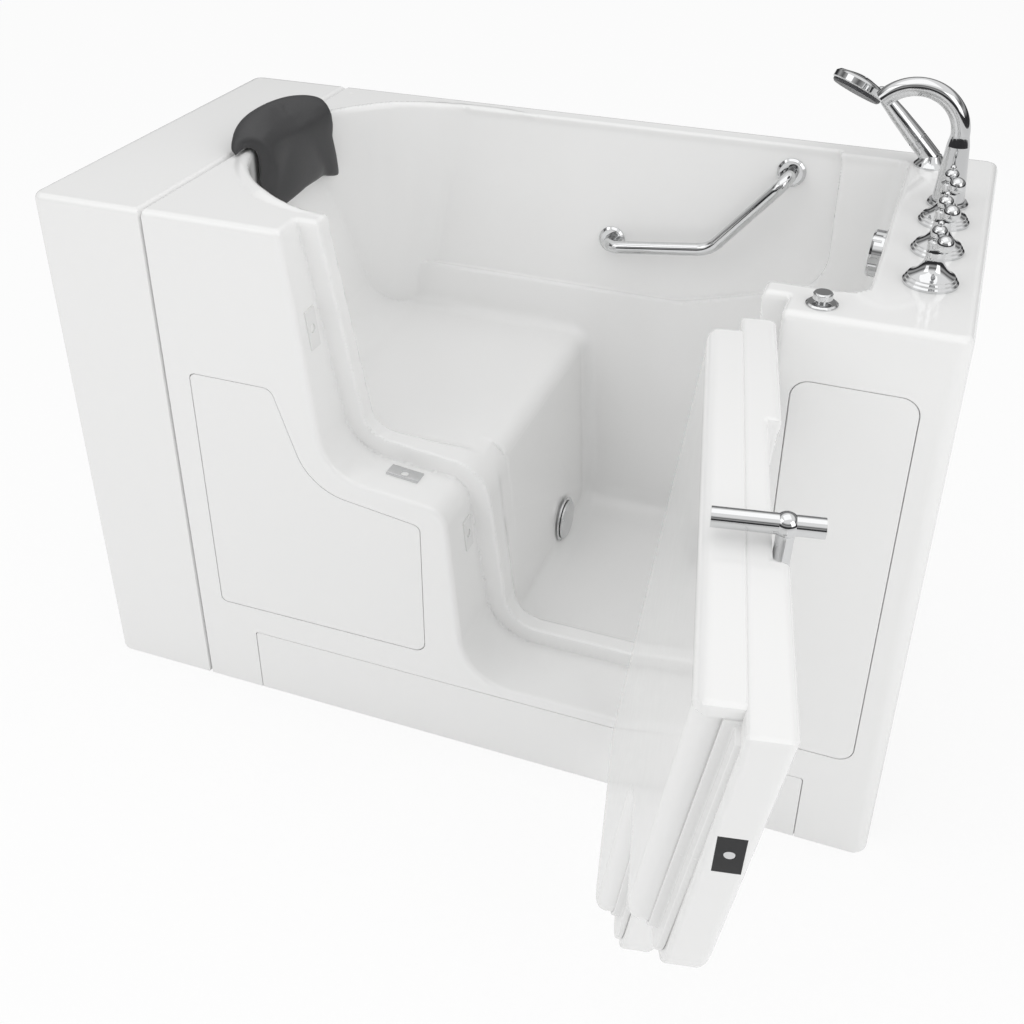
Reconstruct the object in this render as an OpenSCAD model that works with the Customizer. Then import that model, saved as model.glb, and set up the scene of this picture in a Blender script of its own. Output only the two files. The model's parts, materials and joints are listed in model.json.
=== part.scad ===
// Walk-in bathtub with an outward-opening door, built as separate pieces.
// Millimetres, +Z up, origin at the centre of the footprint on the floor.
// The inner drawing frame has its corner at the front left of the footprint.

/* [Tub shell] */
// Overall length of the tub with its extension panel
tub_l = 1524; // [1480:1:1640]
// Overall width from apron to wall
tub_w = 750; // [735:1:800]
// Height of the deck above the floor
tub_h = 1000; // [980:1:1020]
// Thickness of the moulded shell
wall_t = 6; // [5:0.5:7]
// Radius of the upright corners of the body
corner_r = 22; // [16:1:26]
// Radius of the rolled deck edges
edge_r = 12; // [8:1:14]
// Width of the extension panel at the head end
ext_w = 218; // [150:1:225]
// Width of the seam beside the extension panel
seam_gap = 4; // [3:0.5:6]

/* [Bathing well] */
// Distance of the head rim from the head end
head_rim = 240; // [238:1:250]
// Width of the deck beside the wall
back_rim = 44; // [40:1:50]
// Width of the deck in front of the well
front_rim = 95; // [93:1:97]
// Width of the tap deck at the foot end
tap_deck = 147; // [140:1:155]
// Height of the seat above the floor
seat_h = 560; // [550:1:565]
// Height of the foot well's floor
floor_h = 150; // [146:1:160]
// Length of the foot well at its floor
well_l = 508; // [500:1:512]
// Recess of the upper back wall panel
panel_recess = 15; // [8:1:18]

/* [Door opening] */
// Distance of the hinge jamb from the foot end
door_side = 256; // [250:1:262]
// Width of the opening at the deck
open_w = 789; // [780:1:795]
// Width of the lower part of the opening
leg_w = 487; // [480:1:492]
// Height of the sill above the floor
sill_h = 160; // [156:1:165]
// Height of the sill in front of the seat
seat_sill_h = 540; // [530:1:545]
// Depth of the outer rebate at the deck
rebate_d = 57; // [57:0.5:59]
// Height of the step from the rebate to the inner band
rebate_step = 38; // [36:1:40]

/* [Door] */
// Angle that the door stands open in the rest pose
door_open = 102.2; // [95:0.1:104]
// Gap between the door and the outer rebate
door_gap = 4; // [3.6:0.1:5]
// Thickness of the door's outer shell
flange_t = 48; // [46:0.5:48]
// Thickness of the door's inner shell
plug_t = 44; // [38:0.5:46]
// Gap beside the inner shell
plug_gap = 9; // [8.5:0.5:11]
// Tilt of the hinge axis
hinge_tilt = 1.5; // [1.3:0.1:1.6]

/* [Fittings] */
// Diameter of the grab bar
bar_d = 25; // [22:0.5:28]
// Stand-off of the grab bar from the wall
bar_off = 50; // [45:1:58]
// Diameter of the door handle
handle_d = 23; // [20:0.5:25]
// Length of the door handle
handle_l = 118; // [105:1:125]
// Travel of the latch bolts
bolt_travel = 13; // [10:0.5:13]
// Diameter of the valve escutcheons
valve_d = 79; // [72:1:84]
// Spacing of the three deck valves
tap_pitch = 122; // [115:1:126]
// Diameter of the spout pipe at its outlet
spout_d = 30; // [27:0.5:33]
// Reach of the spout's bend
spout_r = 72; // [66:1:76]
// Diameter of the shower head
shower_d = 98; // [88:1:104]
// Diameter of the drain disc
drain_d = 95; // [88:1:100]
// Diameter of the overflow knob
knob_d = 80; // [72:1:86]
// Diameter of the levelling feet
foot_d = 60; // [50:1:66]
// Width of the head cushion
pillow_w = 290; // [260:5:310]
// Thickness of the head cushion
pillow_t = 46; // [38:1:50]

/* [Hidden] */
$fa = 8;
$fs = 1.6;
eps = 0.01;
run = 0.05;
front_draft = 0.10;
back_draft = 0.05;
foot_draft = 0.07;
head_draft = 0.21;
xr = tub_l - door_side;
xl = xr - open_w;
x_leg = xr - leg_w;
x_foot = tub_l - tap_deck;
y_back = tub_w - back_rim;
head_r = (y_back - front_rim) / 2;
head_cx = head_rim + head_r;
head_cy = (y_back + front_rim) / 2;
riser_x = x_foot - foot_draft * (tub_h - floor_h) - well_l;
body_x0 = ext_w + seam_gap;
hinge_x = xr + 4;
hinge_y = -7;
barrel_r = 6.5;
tap_x = tub_l - 72;
tap_y = 170;
spout_y = tap_y + 2 * tap_pitch + 84;
holder_x = x_foot + 33;
holder_y = tub_w - 69;
switch_x = xr + 49;
switch_y = 43;
shank_r = 14;
hub_z = 77;
bar_y = y_back - back_draft * 100 - bar_off;
bar_a = [x_foot - 549, tub_h - 234];
bar_b = [x_foot - 342, tub_h - 208];
bar_c = [x_foot - 210, tub_h - 52];
bar_bend = 60;
knob_y = 440;
knob_z = tub_h - 80;
drain_y = 485;
drain_z = floor_h + 58;
waste_z = 70;
waste_x = riser_x - 90;
tail_x = riser_x - 200;
handle_x = xr - 502;
handle_y = 8;
lean_top = tub_h - 3;
latch_z = tub_h - 185;
bolt_r = 6;
side_in = 3.5;
leg_in = 17.5;
bolt_y = 24;
seat_bolt_x = xl + 166;
leg_bolt_z = tub_h - 565;
switch_r = 15;
frame_t = 30;
frame_z = floor_h - wall_t - frame_t;
foot_x = [body_x0 + 35, tub_l - 40];
foot_y = [40, tub_w - 40];
foot_at = [[foot_x[0], foot_y[0]], [foot_x[1], foot_y[0]], [foot_x[0], foot_y[1]],
           [foot_x[1], foot_y[1]], [tub_l / 2, tub_w / 2]];

white = [0.95, 0.95, 0.94];
chrome = [0.78, 0.79, 0.80];
steel = [0.62, 0.63, 0.65];
rubber = [0.86, 0.86, 0.85];
dark = [0.16, 0.16, 0.17];

// ---- plane geometry ----

function unit(v) = v / norm(v);
function left_of(v) = [-v.y, v.x];
function prev(p, i) = p[(i + len(p) - 1) % len(p)];
function next(p, i) = p[(i + 1) % len(p)];
function turn(a, b) = atan2(a.x * b.y - a.y * b.x, a * b);

// A closed outline moved outwards, each side by its own distance.
function grow(p, d) = [for (i = [0 : len(p) - 1])
  let(u = unit(p[i] - prev(p, i)), v = unit(next(p, i) - p[i]))
  let(n1 = -left_of(u), n2 = -left_of(v), c = n1 * n2)
  let(d1 = prev(d, i), d2 = d[i])
  p[i] + (n1 * (d1 - d2 * c) + n2 * (d2 - d1 * c)) / (1 - c * c)];

// The corner radii of an outline that has been moved by d.
function grow_r(p, r, d) = [for (i = [0 : len(p) - 1])
  r[i] == 0 ? 0 : max(1, turn(p[i] - prev(p, i), next(p, i) - p[i]) > 0 ? r[i] + d : r[i] - d)];

function same(p, d) = [for (q = p) d];

// The patch between a corner and the arc that rounds it.
module corner_patch(a, p, b, r) {
  u = unit(a - p);
  v = unit(b - p);
  h = acos(u * v) / 2;
  c = p + unit(u + v) * r / sin(h);
  t1 = p + u * r / tan(h);
  t2 = p + v * r / tan(h);
  difference() {
    polygon([c, t1 + unit(t1 - c), p + unit(p - c) * 2, t2 + unit(t2 - c)]);
    translate(c) circle(r = r + 0.02);
  }
}

// An anticlockwise outline with round corners.
module rounded(p, r) {
  difference() {
    union() {
      polygon(p);
      for (i = [0 : len(p) - 1])
        if (r[i] > 0 && turn(p[i] - prev(p, i), next(p, i) - p[i]) < 0)
          corner_patch(prev(p, i), p[i], next(p, i), r[i]);
    }
    for (i = [0 : len(p) - 1])
      if (r[i] > 0 && turn(p[i] - prev(p, i), next(p, i) - p[i]) > 0)
        corner_patch(prev(p, i), p[i], next(p, i), r[i]);
  }
}

// The same outline as a slab along y, made of solids so that it stays one piece.
module round_slab(a, b, p, r) {
  difference() {
    union() {
      along_y(a, b) polygon(p);
      for (i = [0 : len(p) - 1])
        if (r[i] > 0 && turn(p[i] - prev(p, i), next(p, i) - p[i]) < 0)
          along_y(a, b) corner_patch(prev(p, i), p[i], next(p, i), r[i]);
    }
    for (i = [0 : len(p) - 1])
      if (r[i] > 0 && turn(p[i] - prev(p, i), next(p, i) - p[i]) > 0)
        along_y(a - 1, b + 1) corner_patch(prev(p, i), p[i], next(p, i), r[i]);
  }
}

module round_rect(x0, y0, x1, y1, r) {
  rounded([[x0, y0], [x1, y0], [x1, y1], [x0, y1]], [r, r, r, r]);
}

// ---- placing ----

module site() {
  translate([-tub_l / 2, -tub_w / 2, 0]) children();
}

// An (x, z) outline drawn out along y.
module along_y(y0, y1) {
  translate([0, y1, 0]) rotate([90, 0, 0]) linear_extrude(y1 - y0) children();
}

// A (y, z) outline drawn out along x.
module along_x(x0, x1) {
  translate([x0, 0, 0]) rotate([90, 0, 90]) linear_extrude(x1 - x0) children();
}

module ring_of(p) {
  rotate_extrude() polygon(p);
}

// A round pipe along a path in the XY plane, with round bends.
module pipe_path(p, rb, r) {
  for (i = [0 : len(p) - 2]) {
    d = unit(p[i + 1] - p[i]);
    la = i == 0 ? 0 : rb * tan(abs(turn(p[i] - p[i - 1], d)) / 2);
    lb = i == len(p) - 2 ? 0 : rb * tan(abs(turn(d, p[i + 2] - p[i + 1])) / 2);
    s = p[i] + d * la;
    translate([s.x, s.y, 0])
      rotate([0, 0, atan2(d.y, d.x)])
        rotate([0, 90, 0])
          cylinder(h = norm(p[i + 1] - p[i]) - la - lb, r = r);
  }
  for (i = [1 : 1 : len(p) - 2]) {
    d = unit(p[i] - p[i - 1]);
    w = turn(d, p[i + 1] - p[i]);
    s = p[i] - d * rb * tan(abs(w) / 2);
    c = s + left_of(d) * rb * sign(w);
    a0 = atan2(s.y - c.y, s.x - c.x);
    translate([c.x, c.y, 0])
      rotate([0, 0, w > 0 ? a0 : a0 + w])
        rotate_extrude(angle = abs(w))
          translate([rb, 0]) circle(r = r);
  }
}

// ---- the door's place ----

// Turns the closed door about its tilted hinge axis.
module door_swing() {
  translate([hinge_x, hinge_y, tub_h])
    rotate([0, hinge_tilt, 0])
      rotate([0, 0, door_open])
        rotate([0, -hinge_tilt, 0])
          translate([-hinge_x, -hinge_y, -tub_h])
            children();
}

// A leaning layer of the door or its opening: from depth a to depth b at the deck.
module leaning(a, b, z0, z1) {
  along_x(xl - 60, xr + 60)
    polygon([[a + front_draft * (tub_h - z0), z0], [b + front_draft * (tub_h - z0), z0],
             [b + front_draft * (tub_h - z1), z1], [a + front_draft * (tub_h - z1), z1]]);
}

function opening(z1) = [[xl + 0.105 * (tub_h - z1), z1], [xl + 48, seat_sill_h + 12],
                        [x_leg - 31, seat_sill_h - 12], [x_leg, sill_h], [xr, sill_h], [xr, z1]];
opening_r = [0, 85, 40, 100, 80, 0];

// The straight edges of the opening: side jamb, seat sill and lower jamb.
function side_x(z) = xl + 0.105 * (tub_h - z);
function seat_z(x) = seat_sill_h + 12 - 24 * (x - xl - 48) / (x_leg - xl - 79);
function leg_x(z) = x_leg - 31 * (z - sill_h) / (seat_sill_h - 12 - sill_h);

// The doorway through the front wall, its faces moved outwards by g.
module doorway(g) {
  o = opening(tub_h + 10);
  intersection() {
    along_y(-10, 200) rounded(grow(o, same(o, g)), grow_r(o, opening_r, g));
    leaning(-200, rebate_d + g, 80, tub_h + 20);
  }
  i = -rebate_step;
  intersection() {
    along_y(-10, 260) rounded(grow(o, [g + i, g + i, g + i, g + i, g + i, g]), grow_r(o, opening_r, g + i));
    leaning(-200, front_rim + 2, 80, tub_h + 20);
  }
}

// ---- the shell ----

// The space of the bathing well, its walls moved outwards by g.
module well(g) {
  side = [[head_rim - 2.1, tub_h + 10], [head_rim + head_draft * (tub_h - seat_h), seat_h],
          [riser_x - 24, seat_h], [riser_x, floor_h],
          [x_foot - foot_draft * (tub_h - floor_h), floor_h], [x_foot + 0.7, tub_h + 10]];
  side_r = [0, 90, 34, 36, 60, 0];
  wall_y = y_back - panel_recess;
  end = [[front_rim - 1, tub_h + 10], [front_rim + front_draft * (tub_h - floor_h), floor_h],
         [wall_y - back_draft * (tub_h - floor_h), floor_h], [wall_y + 0.5, tub_h + 10]];
  deep = [[front_rim - 1, tub_h + 10], [front_rim + front_draft * 400, tub_h - 400],
          [y_back - back_draft * 400, tub_h - 400], [y_back + 0.5, tub_h + 10]];
  intersection() {
    well_plan(g);
    along_y(0, tub_w) rounded(grow(side, same(side, g)), grow_r(side, side_r, g));
    union() {
      along_x(0, tub_l) rounded(grow(end, same(end, g)), grow_r(end, [0, 50, 60, 0], g));
      intersection() {
        along_x(0, tub_l) polygon(grow(deep, same(deep, g)));
        along_y(tub_w / 2, tub_w) recess_outline(g);
      }
    }
  }
}

module well_plan(g) {
  x0 = head_rim - g;
  x1 = x_foot + 0.6 + g;
  y0 = front_rim - g;
  y1 = y_back + g;
  r = head_r + g - 1;
  linear_extrude(tub_h + 9)
    rounded([[x0, y0], [x1, y0], [x1, y1], [x0, y1]], [r, 60 + g, 60 + g, r]);
}

// The deeper upper panel of the back wall: an (x, z) outline.
module recess_outline(g) {
  p = [[head_rim - 20, tub_h + 12], [head_rim - 20, tub_h - 340], [x_foot - 400, tub_h - 342],
       [x_foot - 118, tub_h - 268], [x_foot - 122, tub_h + 12]];
  rounded(grow(p, same(p, g)), [0, 0, 160, 90 + g, 0]);
}

module body_block(x0) {
  intersection() {
    linear_extrude(tub_h)
      rounded([[x0, 0], [tub_l, 0], [tub_l, tub_w], [x0, tub_w]], [0, corner_r, corner_r, 0]);
    along_x(x0 - 1, tub_l + 1)
      rounded([[0, 0], [tub_w, 0], [tub_w, tub_h], [0, tub_h]], [0, 0, edge_r, edge_r]);
    along_y(-1, tub_w + 1)
      rounded([[x0, 0], [tub_l, 0], [tub_l, tub_h], [x0, tub_h]], [0, 0, edge_r, 0]);
  }
}

left_panel = [[body_x0 + 50, tub_h - 294], [body_x0 + 50, sill_h + 42], [x_leg - 79, sill_h + 44],
              [x_leg - 79, seat_sill_h - 53], [xl + 13, seat_sill_h - 23], [xl - 47, tub_h - 294]];
left_panel_r = [12, 12, 22, 14, 110, 20];
right_panel = [[tub_l - 229, 207], [tub_l - 51, 207], [tub_l - 51, tub_h - 102],
               [tub_l - 229, tub_h - 102]];
kick = [[340, -20], [tub_l - 123, -20], [tub_l - 123, 140], [340, 140]];

module tub_shell() color(white) site() difference() {
  union() {
    body_block(body_x0);
    head_roll();
  }
  difference() {
    union() {
      translate([body_x0 - 1, wall_t, -1])
        cube([tub_l - body_x0 + 1 - wall_t, tub_w - 2 * wall_t, tub_h + 1 - wall_t]);
      translate([body_x0 - 1, 45, -1]) cube([tub_l, tub_w, tub_h - 59]);
    }
    well(wall_t);
    doorway(wall_t);
  }
  well(0);
  doorway(0);
  along_y(-1, wall_t + 1) rounded(grow(left_panel, same(left_panel, 1.5)), left_panel_r);
  along_y(-1, wall_t + 1) rounded(grow(right_panel, same(right_panel, 1.5)), same(right_panel, 28));
  along_y(-1, wall_t + 1) rounded(grow(kick, same(kick, 1.5)), [0, 0, 6, 6]);
  for (y = [tap_y, tap_y + tap_pitch, tap_y + 2 * tap_pitch, spout_y])
    translate([tap_x, y, tub_h - 20]) cylinder(h = 40, r = shank_r + 0.5);
  translate([holder_x, holder_y, tub_h - 20]) cylinder(h = 40, r = shank_r + 0.5);
  translate([switch_x, switch_y, tub_h - 20]) cylinder(h = 40, r = 11.5);
  for (k = [0 : 2]) bolt_at(k) translate([0, 0, -36]) cylinder(h = 46, r = bolt_r + 1.5);
  translate([riser_x - 60, drain_y, drain_z]) rotate([0, 90, 0]) cylinder(h = 120, r = 30.5);
  translate([x_foot - 40, knob_y, knob_z]) rotate([0, 90, 0]) cylinder(h = 60, r = 23.6);
  translate([riser_face + 2.94, drain_y, drain_z]) rotate([0, 90, 0])
    cylinder(h = 30, r = drain_d / 2 + 0.06);
}

// The low rolled lip along the head rim.
module head_roll() {
  translate([head_cx, head_cy, tub_h - 4])
    rotate([0, 0, 110])
      rotate_extrude(angle = 140)
        translate([head_r + 11, 0]) circle(r = 11);
}

module extension_panel() color(white) site() difference() {
  intersection() {
    linear_extrude(tub_h)
      rounded([[0, 0], [ext_w, 0], [ext_w, tub_w], [0, tub_w]], [corner_r, 0, 0, corner_r]);
    along_x(-1, ext_w + 1)
      rounded([[0, 0], [tub_w, 0], [tub_w, tub_h], [0, tub_h]], [0, 0, edge_r, edge_r]);
    along_y(-1, tub_w + 1)
      rounded([[0, 0], [ext_w, 0], [ext_w, tub_h], [0, tub_h]], [0, 0, 0, edge_r]);
  }
  translate([wall_t, wall_t, -1])
    cube([ext_w - 2 * wall_t, tub_w - 2 * wall_t, tub_h + 1 - wall_t]);
  translate([wall_t, 45, -1]) cube([tub_l, tub_w, tub_h - 59]);
  translate([wall_t, 60, tub_h - 80]) cube([ext_w, tub_w - 120, 60]);
  head_clear();
}

// Room for the well's rolled head end beside the extension panel.
module head_clear() {
  translate([head_cx, head_cy, tub_h - 90]) cylinder(h = 120, r = head_r + 22 + seam_gap);
}

// ---- apron panels ----

module panel(p, r, lip) {
  along_y(0, wall_t) rounded(p, r);
  along_y(wall_t, wall_t + 3) rounded(grow(p, same(p, lip)), r);
}

module access_panel_left() color(white) site() panel(left_panel, left_panel_r, 10);

module access_panel_right() color(white) site() panel(right_panel, same(right_panel, 27), 10);

module kick_panel() color(white) site() {
  p = [[340, 0], [tub_l - 123, 0], [tub_l - 123, 140], [340, 140]];
  along_y(0, wall_t) rounded(p, [0, 0, 6, 6]);
  along_y(wall_t, wall_t + 3) polygon([[330, 0], [tub_l - 113, 0], [tub_l - 113, 150], [330, 150]]);
}

// ---- frame and feet ----

module frame_bars(g) {
  x0 = foot_x[0] - frame_t / 2;
  x1 = foot_x[1] - frame_t / 2;
  y0 = foot_y[0] - frame_t / 2;
  y1 = foot_y[1] - frame_t / 2;
  t = frame_t - 2 * g;
  mid = tub_w / 2;
  for (y = [y0, y1]) translate([x0 + g, y + g, frame_z + g]) cube([x1 - x0 + t, t, t]);
  for (x = [x0, riser_x + 40, riser_x + 400, x1])
    translate([x + g, y0 + g, frame_z + g]) cube([t, y1 - y0 + t, t]);
  for (x = [x0, x1], y = [y0, y1])
    translate([x + g, y + g, frame_z + g]) cube([t, t, tub_h - wall_t - frame_z - 2 * g]);
  translate([x0 + g, mid - frame_t / 2 + g, frame_z + g]) cube([riser_x + 40 - x0, t, t]);
  translate([riser_x - 140 + g, mid - frame_t / 2 + g, frame_z + g])
    cube([t, t, seat_h - wall_t - frame_z - 2 * g]);
}

module support_frame() color(steel) site() difference() {
  frame_bars(0);
  frame_bars(2);
  for (f = foot_at)
    translate([f.x, f.y, frame_z - 1]) cylinder(h = 4, r = 6.1);
}

module foot(i) color(dark) site() translate([foot_at[i].x, foot_at[i].y, 0])
  ring_of([[0, 0], [foot_d / 2, 0], [foot_d / 2, 6], [12, 14], [6, 14], [6, frame_z + 12],
           [0, frame_z + 12]]);

module foot_front_left() foot(0);
module foot_front_right() foot(1);
module foot_back_left() foot(2);
module foot_back_right() foot(3);
module foot_middle() foot(4);

module foot_nut(i) color(steel) site() translate([foot_at[i].x, foot_at[i].y, frame_z - 10])
  difference() {
    linear_extrude(10) polygon([for (a = [0 : 60 : 300]) [cos(a), sin(a)] * 11]);
    translate([0, 0, -1]) cylinder(h = 12, r = 6.02);
  }

module foot_nut_front_left() foot_nut(0);
module foot_nut_front_right() foot_nut(1);
module foot_nut_back_left() foot_nut(2);
module foot_nut_back_right() foot_nut(3);
module foot_nut_middle() foot_nut(4);

// ---- the door ----

function door_d(z) = front_draft * (tub_h - z);

module door_layer(a, b, inset, lid = 0) {
  o = opening(lean_top);
  d = [-inset - side_in, -inset, -inset - leg_in, -inset, -inset, -lid];
  intersection() {
    round_slab(a - 1, b + 100, grow(o, d), grow_r(o, opening_r, -inset));
    leaning(a, b, 80, tub_h + 20);
  }
}

// The inner shell's outline stands further back along the lower jamb.
module plug_layer(a, b, more) {
  o = opening(lean_top);
  s = rebate_step + plug_gap + more;
  d = [-s, -s, -s - 10, -s, -s, -more];
  intersection() {
    round_slab(a - 1, b + 100, grow(o, d), grow_r(o, [0, 85, 40, 130, 90, 0], -s));
    leaning(a, b, 80, tub_h + 20);
  }
}

module door_outer_shell() color(white) site() door_swing() difference() {
  door_layer(0, flange_t, door_gap);
  door_layer(6, flange_t + 1, door_gap + 58, 60);
  scoop();
  translate([handle_x, handle_y, lean_top - 54]) cylinder(h = 61, r = 10 + run);
  for (k = [0 : 2]) bolt_at(k) translate([0, 0, -9]) cylinder(h = 55, r = bolt_r + run);
  difference() {
    bolt_at(0) translate([-30, -15, -10]) cube([60, 30, 30]);
    door_layer(-1, flange_t + 1, door_gap + 3.02);
  }
}

// The shallow hollow at the top of the outer face, behind the handle.
module scoop() {
  translate([0, -140, 0])
    intersection() {
      along_y(0, 200) rounded([[xr - 530, tub_h - 100], [xr - 260, tub_h - 100],
                               [xr - 260, tub_h + 20], [xr - 530, tub_h + 20]], [40, 40, 0, 0]);
      along_x(xr - 540, xr - 250) polygon([[0, tub_h - 101], [150, tub_h - 101],
                                           [162, tub_h + 21], [0, tub_h + 21]]);
    }
}

module door_inner_shell() color(white) site() door_swing() difference() {
  plug_layer(flange_t, flange_t + plug_t, 0);
  plug_layer(flange_t - 1, flange_t + plug_t - 6, 6);
}

module door_seal() color(rubber) site() door_swing() difference() {
  union() {
    door_layer(flange_t, rebate_d - 0.5, door_gap + 12);
    plug_layer(flange_t, flange_t + 20, -5);
  }
  plug_layer(flange_t - 5, flange_t + 40, 0);
}

// The three latch points: the free side, the seat sill and the lower jamb. +Z points into the door.
module bolt_at(k) {
  if (k == 0)
    translate([side_x(latch_z) + door_gap + side_in, bolt_y + door_d(latch_z), latch_z])
      rotate([0, 90, 0]) children();
  if (k == 1)
    translate([seat_bolt_x, bolt_y + door_d(seat_sill_h), seat_z(seat_bolt_x) + door_gap])
      children();
  if (k == 2)
    translate([leg_x(leg_bolt_z) + door_gap + leg_in, bolt_y + door_d(leg_bolt_z), leg_bolt_z])
      rotate([0, 90, 0]) children();
}

module latch_plate() color(chrome) site() door_swing() difference() {
  intersection() {
    bolt_at(0) translate([-29.5, -14.5, -10]) cube([59, 29, 30]);
    door_layer(0, flange_t, door_gap);
  }
  door_layer(-1, flange_t + 1, door_gap + 3);
  bolt_at(0) translate([0, 0, -10]) cylinder(h = 60, r = bolt_r + run);
}

module bolt(k) color(chrome) site() door_swing() bolt_at(k) translate([0, 0, 1])
  cylinder(h = 40, r = bolt_r);

module latch_bolt_side() bolt(0);
module latch_bolt_seat() bolt(1);
module latch_bolt_leg() bolt(2);

module door_handle() color(chrome) site() door_swing() translate([handle_x, handle_y, lean_top])
  union() {
    translate([0, 0, -50]) cylinder(h = 73, r = 10);
    translate([0, -handle_l / 3, 12 + handle_d / 2]) rotate([-90, 0, 0])
      cylinder(h = handle_l, r = handle_d / 2);
    translate([0, 0, 12 + handle_d / 2]) sphere(r = handle_d / 2 + 3);
  }

// ---- strikes and hinges ----

// A plate on the rebate's face where a bolt enters, long by 30, centred on the bolt.
module strike(k, long) color(chrome) site() difference() {
  o = opening(tub_h + 10);
  intersection() {
    along_y(20, 160) difference() {
      rounded(o, opening_r);
      rounded(grow(o, [-3, -3, -3, -3, -3, 5]), grow_r(o, opening_r, -3));
    }
    bolt_at(k)
      translate([-long / 2, -15, -30]) cube([long, 30, 40]);
  }
  bolt_at(k) translate([0, 0, -36]) cylinder(h = 46, r = bolt_r + 1.5);
}

module strike_side() strike(0, 70);
module strike_seat() strike(1, 60);
module strike_leg() strike(2, 60);

// Both hinges share one axis; h is the height of the hinge's middle.
module on_axis(h) {
  translate([hinge_x, hinge_y, tub_h]) rotate([0, hinge_tilt, 0]) translate([0, 0, h - tub_h])
    children();
}

module hinge_jamb(h) color(chrome) site() difference() {
  union() {
    translate([xr - 3, 2, h - 38]) cube([3, 34, 76]);
    for (s = [-1, 1]) on_axis(h) translate([0, 0, s * 25 - 10]) cylinder(h = 20, r = barrel_r);
    for (s = [-1, 1])
      along_z(h + s * 25 - 9, h + s * 25 + 9)
        polygon([[axis_x(h) - 4, hinge_y - 2], [min(axis_x(h) + 4, xr - 0.02), hinge_y - 2],
                 [xr - 0.02, 0], [xr - 0.02, 12], [xr - 2.9, 12], [axis_x(h) - 4, hinge_y + 4]]);
  }
  on_axis(h) translate([0, 0, -60]) cylinder(h = 120, r = barrel_r / 2);
}

function axis_x(h) = hinge_x - tan(hinge_tilt) * (tub_h - h);

module along_z(z0, z1) {
  translate([0, 0, z0]) linear_extrude(z1 - z0) children();
}

module hinge_door(h) color(chrome) site() door_swing() difference() {
  union() {
    on_axis(h) translate([0, 0, -14.5]) cylinder(h = 29, r = barrel_r);
    intersection() {
      along_y(-60, 120) polygon([[xr - 50, h - 36], [xr - 8, h - 36], [xr - 8, h + 36], [xr - 50, h + 36]]);
      leaning(-3, 0, 80, tub_h);
    }
    along_z(h - 14.5, h + 14.5)
      polygon([[axis_x(h) - 6, hinge_y + 1], [axis_x(h) + 2, hinge_y + 1], [xr - 12, door_d(h) - 1.5],
               [xr - 26, door_d(h) - 1.5]]);
  }
  on_axis(h) translate([0, 0, -60]) cylinder(h = 120, r = barrel_r / 2 + run);
}

module hinge_pin(h) color(steel) site() on_axis(h) union() {
  translate([0, 0, -36]) cylinder(h = 72, r = barrel_r / 2);
  translate([0, 0, 35]) cylinder(h = 3, r = 5);
}

upper_h = tub_h - 150;
lower_h = 320;
module hinge_jamb_upper() hinge_jamb(upper_h);
module hinge_jamb_lower() hinge_jamb(lower_h);
module hinge_door_upper() hinge_door(upper_h);
module hinge_door_lower() hinge_door(lower_h);
module hinge_pin_upper() hinge_pin(upper_h);
module hinge_pin_lower() hinge_pin(lower_h);

// ---- head cushion ----

// The reach of the head wall from the well's centre, at an angle from straight back and a height.
function head_wall(a, z) = min(head_r, (head_r - head_draft * max(0, tub_h - z)) / cos(a)) - 1.5;

// The cushion's path: from the deck over the rim and down the wall, as reach and height.
function cushion_path(a, v) = v < 0.3
  ? [head_r + 11 + 17 * cos(90 * v / 0.3), tub_h + 1 + 13 * sin(90 * v / 0.3)]
  : v < 0.45 ? let(t = 90 * (v - 0.3) / 0.15)
    [head_r + 11 - 15 * sin(t), tub_h - 4 + 18 * cos(t)]
  : let(z = tub_h - 4 - (v - 0.45) / 0.55 * 126)
    [min(head_r - 4, head_wall(a, z) - 1.5), z];

function cushion_t(s, v) = pillow_t * (0.12 + 0.88 * pow(max(0, (1 - pow(abs(2 * s - 1), 3))
  * (1 - pow(abs(2 * v - 1), 3.2))), 0.42));

function cushion_pt(s, v, side) =
  let(draw = 1 - 0.10 * sin(180 * s) * pow(abs(2 * v - 1), 2))
  let(span = asin(pillow_w / 2 / head_r) * (1 - 0.10 * sin(180 * v)))
  let(a = 4 - (2 * s - 1) * span)
  let(vv = 0.5 + (v - 0.5) * draw)
  let(p = cushion_path(a, vv), q = cushion_path(a, min(1, vv + 0.03)) - cushion_path(a, vv - 0.03))
  let(n = unit([q.y, -q.x]), w = p + n * cushion_t(s, v) * side)
  [head_cx - w.x * cos(a), head_cy - w.x * sin(a) * -1, w.y];

module pillow() color(dark) site() {
  m = 22;
  k = 20;
  pts = [for (side = [0, 1], i = [0 : m], j = [0 : k]) cushion_pt(i / m, 0.03 + 0.94 * j / k, side)];
  w = k + 1;
  n = (m + 1) * w;
  faces = concat(
    [for (i = [0 : m - 1], j = [0 : k - 1]) [i * w + j, i * w + j + 1, (i + 1) * w + j]],
    [for (i = [0 : m - 1], j = [0 : k - 1]) [i * w + j + 1, (i + 1) * w + j + 1, (i + 1) * w + j]],
    [for (i = [0 : m - 1], j = [0 : k - 1]) [n + i * w + j, n + (i + 1) * w + j, n + i * w + j + 1]],
    [for (i = [0 : m - 1], j = [0 : k - 1])
      [n + i * w + j + 1, n + (i + 1) * w + j, n + (i + 1) * w + j + 1]],
    [for (i = [0 : m - 1]) [i * w, (i + 1) * w, n + (i + 1) * w, n + i * w]],
    [for (i = [0 : m - 1]) [i * w + k, n + i * w + k, n + (i + 1) * w + k, (i + 1) * w + k]],
    [for (j = [0 : k - 1]) [j, n + j, n + j + 1, j + 1]],
    [for (j = [0 : k - 1]) [m * w + j, m * w + j + 1, n + m * w + j + 1, n + m * w + j]]);
  polyhedron(pts, faces);
}

// ---- grab bar ----

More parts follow.
